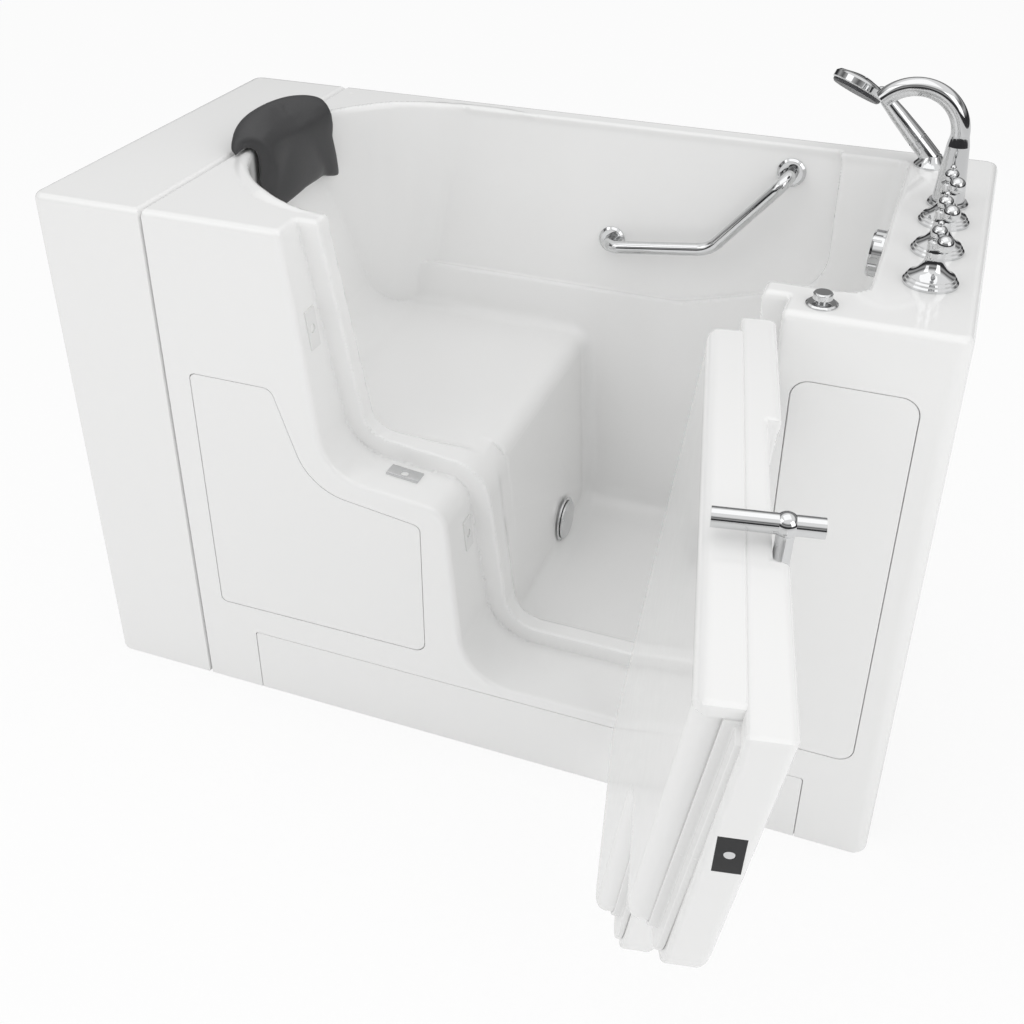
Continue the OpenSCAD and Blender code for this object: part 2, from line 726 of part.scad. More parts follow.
function wall_y_at(z) = y_back - back_draft * (tub_h - z);

// An end of the bar: from the wall, out and round towards the point b.
module bar_end(a, b) {
  w = atan2(b.y - a.y, b.x - a.x);
  translate([a.x, wall_y_at(a.y), a.y]) rotate([0, -w, 0])
    pipe_path([[0, -5], [0, bar_y - wall_y_at(a.y)], [45, bar_y - wall_y_at(a.y)]],
              28, bar_d / 2);
}

module bar_leg(p, q) {
  translate([p.x, bar_y, p.y]) rotate([0, 90 - atan2(q.y - p.y, q.x - p.x), 0])
    cylinder(h = norm(q - p), r = bar_d / 2);
}
module grab_bar() color(chrome) site() {
  u = unit(bar_b - bar_a);
  v = unit(bar_c - bar_b);
  w = turn(u, v);
  k = bar_bend * tan(w / 2);
  c = bar_b - u * k + left_of(u) * bar_bend;
  bar_end(bar_a, bar_b);
  bar_end(bar_c, bar_b);
  bar_leg(bar_a + u * 46, bar_b - u * k);
  bar_leg(bar_b + v * k, bar_c - v * 46);
  translate([0, bar_y, 0]) rotate([90, 0, 0]) translate([c.x, c.y, 0])
    rotate([0, 0, atan2(u.y, u.x) - 89])
      rotate_extrude(angle = w - 2)
        translate([bar_bend, 0]) circle(r = bar_d / 2);
  // a thin sleeve of polished weld where two lengths of tube meet
  for (q = [[bar_a + u * 43.5, u], [bar_b - u * (k + 2), u],
            [bar_b + v * (k - 2), v], [bar_c - v * 47.5, v]])
    translate([q[0].x, bar_y, q[0].y]) rotate([0, 90 - atan2(q[1].y, q[1].x), 0])
      cylinder(h = 4, r = bar_d / 2 + 0.2);
}
module grab_flange(a) color(chrome) site() translate([a.x, wall_y_at(a.y), a.y])
  rotate([90 - atan(back_draft), 0, 0]) difference() {
    ring_of([[0, 0.06], [27, 0.06], [27, 3], [22, 7], [0, 7]]);
    rotate([atan(back_draft), 0, 0]) translate([0, 0, -20])
      cylinder(h = 40, r = bar_d / 2 + 0.02);
  }

module grab_flange_low() grab_flange(bar_a);
module grab_flange_high() grab_flange(bar_c);

// ---- drain and overflow ----

riser_face = riser_x - 24 * (drain_z - floor_h) / (seat_h - floor_h);

module drain_plug() color(chrome) site() translate([riser_face, drain_y, drain_z])
  rotate([0, 90, 0]) {
    translate([0, 0, 8]) ring_of([[0, 0], [drain_d / 2 - 6, 0], [drain_d / 2 - 6, 3],
                                  [drain_d / 2 - 10, 6], [0, 8]]);
    translate([0, 0, -30]) cylinder(h = 39, r = 6);
  }

module drain_body() color(chrome) site() translate([riser_face, drain_y, drain_z])
  rotate([0, 90, 0]) difference() {
    union() {
      translate([0, 0, 3]) cylinder(h = 4, r = drain_d / 2);
      translate([0, 0, -46]) cylinder(h = 51, r = 30);
    }
    translate([0, 0, -40]) cylinder(h = 60, r = 24);
    translate([0, 0, -60]) cylinder(h = 40, r = 18);
  }

module waste_pipe() color(dark) site() {
  x0 = riser_face - 46;
  difference() {
    union() {
      translate([0, drain_y, 0]) rotate([90, 0, 0])
        pipe_path([[x0, drain_z], [tail_x, drain_z], [tail_x, 50]], 40, 21);
      translate([tail_x, drain_y, 20]) cylinder(h = 32, r = 19.05);
      translate([x0 - 12, drain_y, drain_z]) rotate([0, 90, 0]) cylinder(h = 12, r = 30);
      translate([0, knob_y, 0]) rotate([90, 0, 0])
        pipe_path([[x_foot + 38, knob_z - 32], [x_foot + 38, waste_z], [tail_x, waste_z]], 40, 16);
      translate([tail_x, knob_y - 16, waste_z]) rotate([-90, 0, 0])
        cylinder(h = drain_y - knob_y + 16, r = 16);
    }
    translate([tail_x, drain_y, 19]) cylinder(h = 60, r = 16.5);
    translate([x0 - 40, drain_y, drain_z]) rotate([0, 90, 0]) cylinder(h = 41, r = 16.5);
  }
}

module knob_place() {
  translate([x_foot - foot_draft * (tub_h - knob_z), knob_y, knob_z])
    rotate([0, -90 + atan(foot_draft), 0]) children();
}
module overflow_body() color(chrome) site() knob_place() difference() {
  union() {
    translate([0, 0, 0.06]) cylinder(h = 5.4, r = knob_d / 2 + 3);
    translate([0, 0, -28]) cylinder(h = 30, r = 22);
    translate([0, 0, -66]) cylinder(h = 46, r = 26);
  }
  translate([0, 0, -36]) cylinder(h = 60, r = 6 + run);
}

module overflow_knob() color(chrome) site() knob_place() {
    translate([0, 0, 5.9]) difference() {
      ring_of([[0, 0], [knob_d / 2, 0], [knob_d / 2, 16], [knob_d / 2 - 4, 20], [0, 20]]);
      for (a = [0 : 60 : 300]) rotate([0, 0, a + 30]) translate([knob_d / 2 + 8, 0, 4])
        cylinder(h = 20, r = 12);
    }
    translate([0, 0, -34]) cylinder(h = 40, r = 6);
  }

// ---- deck fittings ----

module valve(y) color(chrome) site() translate([tap_x, y, tub_h]) difference() {
  union() {
    rotate_extrude() difference() {
      r = valve_d / 2;
      polygon([[0, 0], [r, 0], [r, 4], [r - 3, 6], [r - 3, 9], [r - 6, 11], [r - 6, 14],
               [13, 50], [13, 62], [0, 62]]);
      translate([47, 44.5]) circle(r = 34);
    }
    translate([0, 0, -62]) cylinder(h = 63, r = shank_r);
    translate([0, 0, -100]) cylinder(h = 40, r = 10.475);
    translate([0, 0, -wall_t - 10]) cylinder(h = 10, r = 24);
  }
  translate([0, 0, 30]) cylinder(h = 40, r = 6 + run);
}

module valve_front() valve(tap_y);
module valve_middle() valve(tap_y + tap_pitch);
module valve_back() valve(tap_y + 2 * tap_pitch);

module lever_handle(y) color(chrome) site() translate([tap_x, y, tub_h]) {
  translate([0, 0, 34]) cylinder(h = 30, r = 6);
  translate([0, 0, 62.3]) ring_of([[0, 0], [14, 0], [14, 3], [9, 6], [9, 20], [0, 20]]);
  translate([0, 0, hub_z]) sphere(r = 12);
  translate([0, 0, hub_z + 13.5]) sphere(r = 5);
  rotate([0, 0, -75]) translate([0, 0, hub_z]) {
    rotate([0, 90, 0]) cylinder(h = 40, r = 5.5);
    translate([20, 0, 0]) rotate([0, 90, 0]) cylinder(h = 4, r = 8);
    translate([42, 0, 0]) sphere(r = 13);
  }
}

module handle_front() lever_handle(tap_y);
module handle_middle() lever_handle(tap_y + tap_pitch);
module handle_back() lever_handle(tap_y + 2 * tap_pitch);

module spout_base() color(chrome) site() translate([tap_x, spout_y, tub_h]) difference() {
  union() {
    ring_of([[0, 0], [33, 0], [33, 4], [30, 8], [0, 8]]);
    translate([0, 0, -62]) cylinder(h = 63, r = shank_r);
    translate([0, 0, -wall_t - 10]) cylinder(h = 10, r = 24);
  }
  translate([0, 0, -30]) cylinder(h = 60, r = 10 + run);
}

module spout() color(chrome) site() translate([tap_x, spout_y, tub_h]) difference() {
  r = spout_d / 2;
  union() {
    translate([0, 0, -25]) cylinder(h = 36, r = 10);
    translate([0, 0, 8.3]) cylinder(h = 92, r1 = 26, r2 = r + 3);
    translate([0, 0, 100]) cylinder(h = 16, r1 = r + 3.1, r2 = r);
    translate([0, 0, 116]) rotate([90, 0, 0]) translate([-spout_r, 0, 0])
      rotate_extrude(angle = 140) translate([spout_r, 0]) circle(r = r);
  }
  translate([-spout_r, 0, 116]) rotate([90, 0, 0]) rotate([0, 0, 90])
    rotate_extrude(angle = 51) translate([spout_r, 0]) circle(r = r - 4);
}

// The shower's cradle leans towards the well.
module cradle() {
  translate([holder_x, holder_y, tub_h + 14]) rotate([0, -44, 0]) children();
}

module shower_holder() color(chrome) site() difference() {
  union() {
    translate([holder_x, holder_y, tub_h])
      ring_of([[0, 0], [29, 0], [29, 3], [24, 9], [17, 20], [0, 24]]);
    translate([holder_x, holder_y, tub_h - 62]) cylinder(h = 63, r = shank_r);
    translate([holder_x, holder_y, tub_h - wall_t - 10]) cylinder(h = 10, r = 24);
    cradle() cylinder(h = 30, r = 17);
  }
  cradle() translate([0, 0, 8]) cylinder(h = 40, r = 11 + run);
}

module shower_hand() color(chrome) site() cradle() {
  translate([0, 0, 8.3]) cylinder(h = 30, r = 11);
  translate([0, 0, 30.3]) cylinder(h = 12, r = 17);
  translate([0, 0, 42.3]) cylinder(h = 3, r = 15);
  translate([0, 0, 45]) cylinder(h = 50, r1 = 17, r2 = 15);
  translate([0, 0, 95]) cylinder(h = 52, r1 = 15, r2 = 11);
  translate([0, 0, 147]) sphere(r = 11);
  shower_head() {
    ring_of([[0, 6], [shower_d / 2 - 2, 6], [shower_d / 2, 8], [shower_d / 2, 18],
             [shower_d / 2 - 5, 23], [14, 30], [0, 30]]);
  }
}

// The head's middle is beyond the handle, its face turned down and forwards.
module shower_head() {
  translate([0, 0, 190]) rotate([0, 0, 22.5]) rotate([0, 69.4, 0]) translate([0, 0, -36.5]) children();
}

module shower_face() color(dark) site() cradle() shower_head()
  difference() {
    ring_of([[0, 0], [shower_d / 2 - 6, 0], [shower_d / 2 - 3, 3], [shower_d / 2 - 3, 6], [0, 6]]);
    for (r = [14, 28], a = [0 : 30 : 330])
      rotate([0, 0, a]) translate([r, 0, -1]) cylinder(h = 3, r = 1.2);
  }

module air_switch_base() color(chrome) site() translate([switch_x, switch_y, tub_h]) difference() {
  union() {
    ring_of([[0, 0], [23, 0], [23, 2], [20, 4], [0, 4]]);
    translate([0, 0, -50]) cylinder(h = 51, r = 11);
    translate([0, 0, -wall_t - 8]) cylinder(h = 8, r = 18);
  }
  translate([0, 0, -40]) cylinder(h = 60, r = 8 + run);
}

module air_switch_button() color(chrome) site() translate([switch_x, switch_y, tub_h]) {
  translate([0, 0, -30]) cylinder(h = 40, r = 8);
  translate([0, 0, 9]) ring_of([[0, 0], [switch_r - 1, 0], [switch_r - 1, 8], [switch_r - 3, 10], [0, 10]]);
}

tub_shell();
extension_panel();
access_panel_left();
access_panel_right();
kick_panel();
support_frame();
foot_front_left();
foot_front_right();
foot_back_left();
foot_back_right();
foot_middle();
foot_nut_middle();
foot_nut_front_left();
foot_nut_front_right();
foot_nut_back_left();
foot_nut_back_right();
strike_side();
strike_seat();
strike_leg();
hinge_jamb_upper();
hinge_jamb_lower();
hinge_door_upper();
hinge_door_lower();
hinge_pin_upper();
hinge_pin_lower();
door_outer_shell();
door_inner_shell();
door_seal();
latch_plate();
latch_bolt_side();
latch_bolt_seat();
latch_bolt_leg();
door_handle();
pillow();
grab_bar();
grab_flange_low();
grab_flange_high();
drain_plug();
drain_body();
waste_pipe();
overflow_body();
overflow_knob();
valve_front();
valve_middle();
valve_back();
handle_front();
handle_middle();
handle_back();
spout_base();
spout();
shower_holder();
shower_hand();
shower_face();
air_switch_base();
air_switch_button();
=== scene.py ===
import json
import math

import bmesh
import bpy
import numpy as np
import openvdb
from mathutils import Euler, Matrix, Vector

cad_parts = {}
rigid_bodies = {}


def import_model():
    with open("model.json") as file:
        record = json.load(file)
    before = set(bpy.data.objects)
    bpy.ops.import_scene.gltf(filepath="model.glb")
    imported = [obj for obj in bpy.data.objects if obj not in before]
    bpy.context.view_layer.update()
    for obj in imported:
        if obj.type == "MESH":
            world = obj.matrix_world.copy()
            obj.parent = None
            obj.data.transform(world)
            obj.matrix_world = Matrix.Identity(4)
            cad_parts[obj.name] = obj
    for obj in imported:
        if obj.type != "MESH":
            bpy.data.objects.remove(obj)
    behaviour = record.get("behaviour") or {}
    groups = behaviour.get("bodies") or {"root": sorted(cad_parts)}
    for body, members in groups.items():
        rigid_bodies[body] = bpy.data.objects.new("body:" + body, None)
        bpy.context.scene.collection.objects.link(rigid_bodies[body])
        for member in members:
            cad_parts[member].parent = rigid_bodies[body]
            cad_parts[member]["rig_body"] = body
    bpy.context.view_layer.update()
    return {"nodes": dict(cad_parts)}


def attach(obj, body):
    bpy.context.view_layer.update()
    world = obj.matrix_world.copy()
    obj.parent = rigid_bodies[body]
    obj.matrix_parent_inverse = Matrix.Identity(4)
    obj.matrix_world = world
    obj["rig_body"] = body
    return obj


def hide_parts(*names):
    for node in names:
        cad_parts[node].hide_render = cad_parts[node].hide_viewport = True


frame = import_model()
nodes = frame["nodes"]
scene = bpy.context.scene
scene.view_settings.view_transform = "Standard"

# ---------------------------------------------------------------------------
# Studio: the photograph's camera, a white floor and soft box lights. The floor
# and the world read as white to the camera, the world has dark bands for the
# chrome to mirror, and the floor keeps a faint contact shadow.
# ---------------------------------------------------------------------------
photo_pixels = 1024.0
focal_pixels = 1261.12
centre_pixel = (505.16, 417.74)
film_width = 36.0
camera_data = bpy.data.cameras.new("photo_camera")
camera_data.sensor_width = film_width
camera_data.lens = focal_pixels * film_width / photo_pixels
camera_data.shift_x = (photo_pixels / 2.0 - centre_pixel[0]) / photo_pixels
camera_data.shift_y = (centre_pixel[1] - photo_pixels / 2.0) / photo_pixels
camera_data.clip_end = 100.0
camera = bpy.data.objects.new("photo_camera", camera_data)
camera.location = (0.7069, -1.9748, 1.7717)
camera.rotation_euler = Euler((math.radians(58.959), 0.0, math.radians(20.822)), "XYZ")
scene.collection.objects.link(camera)
scene.camera = camera

pure_white = (1.0, 1.0, 1.0, 1.0)
ambient_strength = 0.76
mirrored_tones = ((0.36, (0.70, 0.70, 0.70, 1.0)), (0.47, (0.05, 0.05, 0.052, 1.0)),
                  (0.58, (0.03, 0.03, 0.032, 1.0)), (0.66, (0.45, 0.45, 0.45, 1.0)),
                  (0.74, (0.12, 0.12, 0.12, 1.0)), (0.84, (0.95, 0.95, 0.95, 1.0)))
world = bpy.data.worlds.new("studio_air")
scene.world = world
world.use_nodes = True
tree = world.node_tree
tree.nodes.clear()
world_out = tree.nodes.new("ShaderNodeOutputWorld")
light_path = tree.nodes.new("ShaderNodeLightPath")
ambient = tree.nodes.new("ShaderNodeBackground")
ambient.inputs["Color"].default_value = pure_white
ambient.inputs["Strength"].default_value = ambient_strength
backdrop = tree.nodes.new("ShaderNodeBackground")
backdrop.inputs["Color"].default_value = pure_white
backdrop.inputs["Strength"].default_value = 1.0
sky_coord = tree.nodes.new("ShaderNodeTexCoord")
sky_split = tree.nodes.new("ShaderNodeSeparateXYZ")
sky_band = tree.nodes.new("ShaderNodeValToRGB")
stops = sky_band.color_ramp.elements
for number, (height, tone) in enumerate(mirrored_tones):
    stop = stops[number] if number < 2 else stops.new(height)
    stop.position = height
    stop.color = tone
half_up = tree.nodes.new("ShaderNodeMapRange")
half_up.inputs["From Min"].default_value = -1.0
half_up.inputs["From Max"].default_value = 1.0
mirrored = tree.nodes.new("ShaderNodeBackground")
mirrored.inputs["Strength"].default_value = 1.0
see_glossy = tree.nodes.new("ShaderNodeMixShader")
see_camera = tree.nodes.new("ShaderNodeMixShader")
tree.links.new(sky_coord.outputs["Generated"], sky_split.inputs[0])
tree.links.new(sky_split.outputs["Z"], half_up.inputs["Value"])
tree.links.new(half_up.outputs["Result"], sky_band.inputs["Fac"])
tree.links.new(sky_band.outputs["Color"], mirrored.inputs["Color"])
tree.links.new(light_path.outputs["Is Glossy Ray"], see_glossy.inputs["Fac"])
tree.links.new(ambient.outputs[0], see_glossy.inputs[1])
tree.links.new(mirrored.outputs[0], see_glossy.inputs[2])
tree.links.new(light_path.outputs["Is Camera Ray"], see_camera.inputs["Fac"])
tree.links.new(see_glossy.outputs[0], see_camera.inputs[1])
tree.links.new(backdrop.outputs[0], see_camera.inputs[2])
tree.links.new(see_camera.outputs[0], world_out.inputs["Surface"])

floor_reach = 12.0
floor_level = -0.0005
glow_share = 0.86
floor_mesh = bpy.data.meshes.new("studio_floor")
floor_corners = [(-floor_reach, -floor_reach, floor_level), (floor_reach, -floor_reach, floor_level),
                 (floor_reach, floor_reach, floor_level), (-floor_reach, floor_reach, floor_level)]
floor_mesh.from_pydata(floor_corners, [], [(0, 1, 2, 3)])
studio_floor = bpy.data.objects.new("studio_floor", floor_mesh)
scene.collection.objects.link(studio_floor)
floor_paint = bpy.data.materials.new("studio_floor_white")
floor_paint.use_nodes = True
tree = floor_paint.node_tree
tree.nodes.clear()
floor_out = tree.nodes.new("ShaderNodeOutputMaterial")
floor_path = tree.nodes.new("ShaderNodeLightPath")
floor_matt = tree.nodes.new("ShaderNodeBsdfDiffuse")
floor_matt.inputs["Color"].default_value = (0.97, 0.97, 0.97, 1.0)
floor_glow = tree.nodes.new("ShaderNodeEmission")
floor_glow.inputs["Color"].default_value = pure_white
floor_share = tree.nodes.new("ShaderNodeMath")
floor_share.operation = "MULTIPLY"
floor_share.inputs[1].default_value = glow_share
floor_mix = tree.nodes.new("ShaderNodeMixShader")
tree.links.new(floor_path.outputs["Is Camera Ray"], floor_share.inputs[0])
tree.links.new(floor_share.outputs[0], floor_mix.inputs["Fac"])
tree.links.new(floor_matt.outputs[0], floor_mix.inputs[1])
tree.links.new(floor_glow.outputs[0], floor_mix.inputs[2])
tree.links.new(floor_mix.outputs[0], floor_out.inputs["Surface"])
floor_mesh.materials.append(floor_paint)

lamp_target = Vector((0.0, 0.0, 0.6))
for lamp_name, lamp_place, lamp_size, lamp_power in (
        ("key_box", (-2.6, -2.4, 3.4), 2.4, 17.0),
        ("fill_box", (3.2, -2.0, 2.6), 2.2, 20.0),
        ("top_box", (0.2, -0.4, 3.6), 2.6, 9.0)):
    lamp_data = bpy.data.lights.new(lamp_name, "AREA")
    lamp_data.shape = "SQUARE"
    lamp_data.size = lamp_size
    lamp_data.energy = lamp_power
    lamp = bpy.data.objects.new(lamp_name, lamp_data)
    lamp.location = lamp_place
    lamp.rotation_euler = (lamp_target - Vector(lamp_place)).to_track_quat("-Z", "Y").to_euler()
    scene.collection.objects.link(lamp)


# ---------------------------------------------------------------------------
# Gelcoat: the shell, the extension panel, the door skins and the apron panels
# are moulded glass fibre with a glossy white gelcoat. A faint orange peel and
# slight differences in gloss keep it from looking like plain plastic.
# ---------------------------------------------------------------------------
def build_surface_variation():
    """A node group: soft noise at a given size, put out as a value from Low to High and as a height."""
    group = bpy.data.node_groups.new("surface_variation", "ShaderNodeTree")
    group.interface.new_socket("Size", in_out="INPUT", socket_type="NodeSocketFloat")
    group.interface.new_socket("Low", in_out="INPUT", socket_type="NodeSocketFloat")
    group.interface.new_socket("High", in_out="INPUT", socket_type="NodeSocketFloat")
    group.interface.new_socket("Value", in_out="OUTPUT", socket_type="NodeSocketFloat")
    group.interface.new_socket("Height", in_out="OUTPUT", socket_type="NodeSocketFloat")
    given = group.nodes.new("NodeGroupInput")
    result = group.nodes.new("NodeGroupOutput")
    coord = group.nodes.new("ShaderNodeTexCoord")
    noise = group.nodes.new("ShaderNodeTexNoise")
    noise.inputs["Detail"].default_value = 3.0
    spread = group.nodes.new("ShaderNodeMapRange")
    group.links.new(coord.outputs["Object"], noise.inputs["Vector"])
    group.links.new(given.outputs["Size"], noise.inputs["Scale"])
    group.links.new(noise.outputs["Fac"], spread.inputs["Value"])
    group.links.new(given.outputs["Low"], spread.inputs["To Min"])
    group.links.new(given.outputs["High"], spread.inputs["To Max"])
    group.links.new(spread.outputs["Result"], result.inputs["Value"])
    group.links.new(noise.outputs["Fac"], result.inputs["Height"])
    return group


surface_variation = build_surface_variation()


def varied_material(name, colour, metallic, gloss, grain, peel=0.0):
    """A material whose roughness wanders between the two gloss values at the grain size, with a bump of
    height peel in metres."""
    material = bpy.data.materials.new(name)
    material.use_nodes = True
    nt = material.node_tree
    skin = nt.nodes["Principled BSDF"]
    skin.inputs["Base Color"].default_value = (*colour, 1.0)
    skin.inputs["Metallic"].default_value = metallic
    vary = nt.nodes.new("ShaderNodeGroup")
    vary.node_tree = surface_variation
    vary.inputs["Size"].default_value = grain
    vary.inputs["Low"].default_value = gloss[0]
    vary.inputs["High"].default_value = gloss[1]
    nt.links.new(vary.outputs["Value"], skin.inputs["Roughness"])
    if peel:
        bump = nt.nodes.new("ShaderNodeBump")
        bump.inputs["Strength"].default_value = 0.15
        bump.inputs["Distance"].default_value = peel
        nt.links.new(vary.outputs["Height"], bump.inputs["Height"])
        nt.links.new(bump.outputs["Normal"], skin.inputs["Normal"])
    return material


gelcoat = varied_material("white_gelcoat", (0.92, 0.92, 0.915), 0.0, (0.05, 0.10), 40.0, 0.0001)
panel_gelcoat = varied_material("panel_gelcoat", (0.915, 0.915, 0.91), 0.0, (0.08, 0.14), 40.0, 0.0001)


# ---------------------------------------------------------------------------
# Tub shell: one glass fibre moulding with the deck, well, seat and doorway. Its
# rims are rounded, so it is made from distance forms joined with fillets, in mm
# from the corner front left. Distances are negative inside a form.
# ---------------------------------------------------------------------------
def unit(v):
    """v divided by its length."""
    return v / np.linalg.norm(v)


def grown(points, steps):
    """An anticlockwise outline with every side moved outwards by its own step: each corner moves along both
    sides' normals, less what each step already gives along the other."""
    p = np.asarray(points, float)
    out = []
    for i in range(len(p)):
        u = unit(p[i] - p[i - 1])
        v = unit(p[(i + 1) % len(p)] - p[i])
        n1 = np.array([u[1], -u[0]])
        n2 = np.array([v[1], -v[0]])
        c = float(n1 @ n2)
        before = steps[i - 1]
        after = steps[i]
        out.append(p[i] + (n1 * (before - after * c) + n2 * (after - before * c)) / (1.0 - c * c))
    return np.array(out)


def grown_radii(points, radii, step):
    """Corner radii of a grown outline: +step at a convex corner, -step at a hollow one, at least 1."""
    p = np.asarray(points, float)
    a = p - np.roll(p, 1, 0)
    b = np.roll(p, -1, 0) - p
    turn = np.sign(a[:, 0] * b[:, 1] - a[:, 1] * b[:, 0])
    return [0.0 if r == 0 else max(1.0, r + s * step) for r, s in zip(radii, turn)]


def outline(points, radii):
    """The corners, sides and corner arcs of a rounded outline. An arc's centre lies on the corner's halving
    line, at its radius from both sides."""
    p = np.asarray(points, float)
    arcs = []
    ends = []
    for i in range(len(p)):
        a = unit(p[i - 1] - p[i])
        b = unit(p[(i + 1) % len(p)] - p[i])
        if radii[i] <= 0.0:
            ends.append((p[i], p[i]))
            continue
        half = math.acos(max(-1.0, min(1.0, float(a @ b)))) / 2.0
        centre = p[i] + unit(a + b) * radii[i] / math.sin(half)
        t = radii[i] / math.tan(half)
        arcs.append((p[i], a, b, centre, radii[i], t))
        ends.append((p[i] + a * t, p[i] + b * t))
    sides = [(ends[i][1], ends[(i + 1) % len(p)][0]) for i in range(len(p))]
    return p, sides, arcs


def depth(shape, u, v):
    """Signed distance from (u, v) to a rounded outline: the least distance to its sides and arcs, negative
    where the sharp polygon's crossing count says inside, turned round between each arc and its corner."""
    points, sides, arcs = shape
    size = np.broadcast(u, v).shape
    u = np.broadcast_to(u, size).ravel().astype(np.float32)
    v = np.broadcast_to(v, size).ravel().astype(np.float32)
    best = np.full(u.shape, 1e12, np.float32)
    inside = np.zeros(u.shape, bool)
    for a, b in sides:
        e = (b - a).astype(np.float32)
        du = u - np.float32(a[0])
        dv = v - np.float32(a[1])
        t = np.clip((du * e[0] + dv * e[1]) / np.float32(max(1e-9, float(e @ e))), 0.0, 1.0)
        best = np.minimum(best, (du - t * e[0]) ** 2 + (dv - t * e[1]) ** 2)
    best = np.sqrt(best)
    for a, b in zip(points, np.roll(points, -1, 0)):
        if a[1] != b[1]:
            crossing = (np.float32(a[1]) > v) != (np.float32(b[1]) > v)
            at = np.float32(a[0]) + (v - np.float32(a[1])) * np.float32((b[0] - a[0]) / (b[1] - a[1]))
            inside ^= crossing & (u < at)
    for corner, a, b, centre, r, t in arcs:
        du = u - np.float32(centre[0])
        dv = v - np.float32(centre[1])
        q = np.hypot(du, dv)
        d1 = corner + a * t - centre
        d2 = corner + b * t - centre
        s = np.sign(d1[0] * d2[1] - d1[1] * d2[0])
        wedge = ((d1[0] * dv - d1[1] * du) * s >= 0) & ((du * d2[1] - dv * d2[0]) * s >= 0)
        best = np.where(wedge, np.minimum(best, np.abs(q - np.float32(r))), best)
        pu = u - np.float32(corner[0])
        pv = v - np.float32(corner[1])
        kite = (wedge & (q > r) & (pu * np.float32(-d1[0]) + pv * np.float32(-d1[1]) >= 0)
                & (pu * np.float32(-d2[0]) + pv * np.float32(-d2[1]) >= 0))
        inside ^= kite
    return (best * np.where(inside, -1.0, 1.0)).reshape(size).astype(np.float32)


def both(a, b, r):
    """The common part of two forms: the greater distance, but at an edge the distance to an arc of
    radius r."""
    return np.minimum(-r, np.maximum(a, b)) + np.hypot(np.maximum(a + r, 0.0), np.maximum(b + r, 0.0))


def either(a, b, r):
    """Two forms joined, their inner corner filled to radius r: the outside of both outsides' common part."""
    return -both(-a, -b, r)


def slope(form, p, h=0.3):
    """The form's gradient at the points p: along each axis, its values h to either side, over twice h."""
    g = np.empty_like(p)
    for k in range(3):
        d = np.zeros(3)
        d[k] = h
        a = p + d
        b = p - d
        g[:, k] = form(a[:, 0], a[:, 1], a[:, 2]) - form(b[:, 0], b[:, 1], b[:, 2])
    return g / (2 * h)


def surfaced(form, low, high, step, rounds=3):
    """A closed surface where the form is nought, from a grid of the step, each vertex then moved against the
    gradient by its distance over the gradient's square."""
    axes = [np.float32(l) + np.float32(step) * np.arange(int(math.ceil((h - l) / step)) + 1, dtype=np.float32)
            for l, h in zip(low, high)]
    values = form(axes[0][:, None, None], axes[1][None, :, None], axes[2][None, None, :])
    grid = openvdb.FloatGrid(float(3 * step))
    grid.copyFromArray(np.clip(values, -3 * step, 3 * step).astype(np.float32))
    p, tris, quads = grid.convertToPolygons(0.0, 0.0)
    p = p.astype(np.float64) * step + np.asarray(low, float)
    for _ in range(rounds):
        g = slope(form, p)
        d = form(p[:, 0], p[:, 1], p[:, 2])[:, None]
        p = p - np.clip(d, -step, step) * g / np.maximum((g ** 2).sum(1, keepdims=True), 0.2)
    return p, tris, quads


def loop_of(points, radii, arc=4.0):
    """The rounded outline as points: each corner gives points at most arc degrees apart on its circle."""
    corners, _, arcs = outline(points, radii)
    found = {tuple(c[0]): c for c in arcs}
    out = []
    for p in corners:
        if tuple(p) not in found:
            out.append(p)
            continue
        corner, a, b, centre, r, t = found[tuple(p)]
        d1 = corner + a * t - centre
        d2 = corner + b * t - centre
        w0 = math.atan2(d1[1], d1[0])
        sweep = (math.atan2(d2[1], d2[0]) - w0 + math.pi) % (2.0 * math.pi) - math.pi
        n = max(2, int(math.ceil(math.degrees(abs(sweep)) / arc)))
        turns = [w0 + sweep * k / n for k in range(n + 1)]
        out += [centre + r * np.array([math.cos(w), math.sin(w)]) for w in turns]
    return np.array(out)


def prism(loop, y0, y1):
    """A closed prism: an anticlockwise (x, z) loop at y0 and at y1, joined by one face a side."""
    n = len(loop)
    v = [(p[0], y0, p[1]) for p in loop] + [(p[0], y1, p[1]) for p in loop]
    f = [tuple(range(n)), tuple(range(2 * n - 1, n - 1, -1))]
    f += [((k + 1) % n, k, n + k, n + (k + 1) % n) for k in range(n)]
    return v, f


def rod(base, axis, length, r, n=48):
    """A closed cylinder: n points round the axis, cosine and sine of the turn times r, at both ends."""
    axis = unit(np.array(axis, float))
    side = unit(np.cross(axis, (0.3, 0.5, 0.81)))
    up = np.cross(axis, side)
    w = np.arange(n) * 2.0 * np.pi / n
    ring = np.asarray(base, float) + r * (np.cos(w)[:, None] * side + np.sin(w)[:, None] * up)
    v = [tuple(q) for q in ring] + [tuple(q) for q in ring + axis * length]
    f = [tuple(range(n - 1, -1, -1)), tuple(range(n, 2 * n))]
    f += [(k, (k + 1) % n, n + (k + 1) % n, n + k) for k in range(n)]
    return v, f


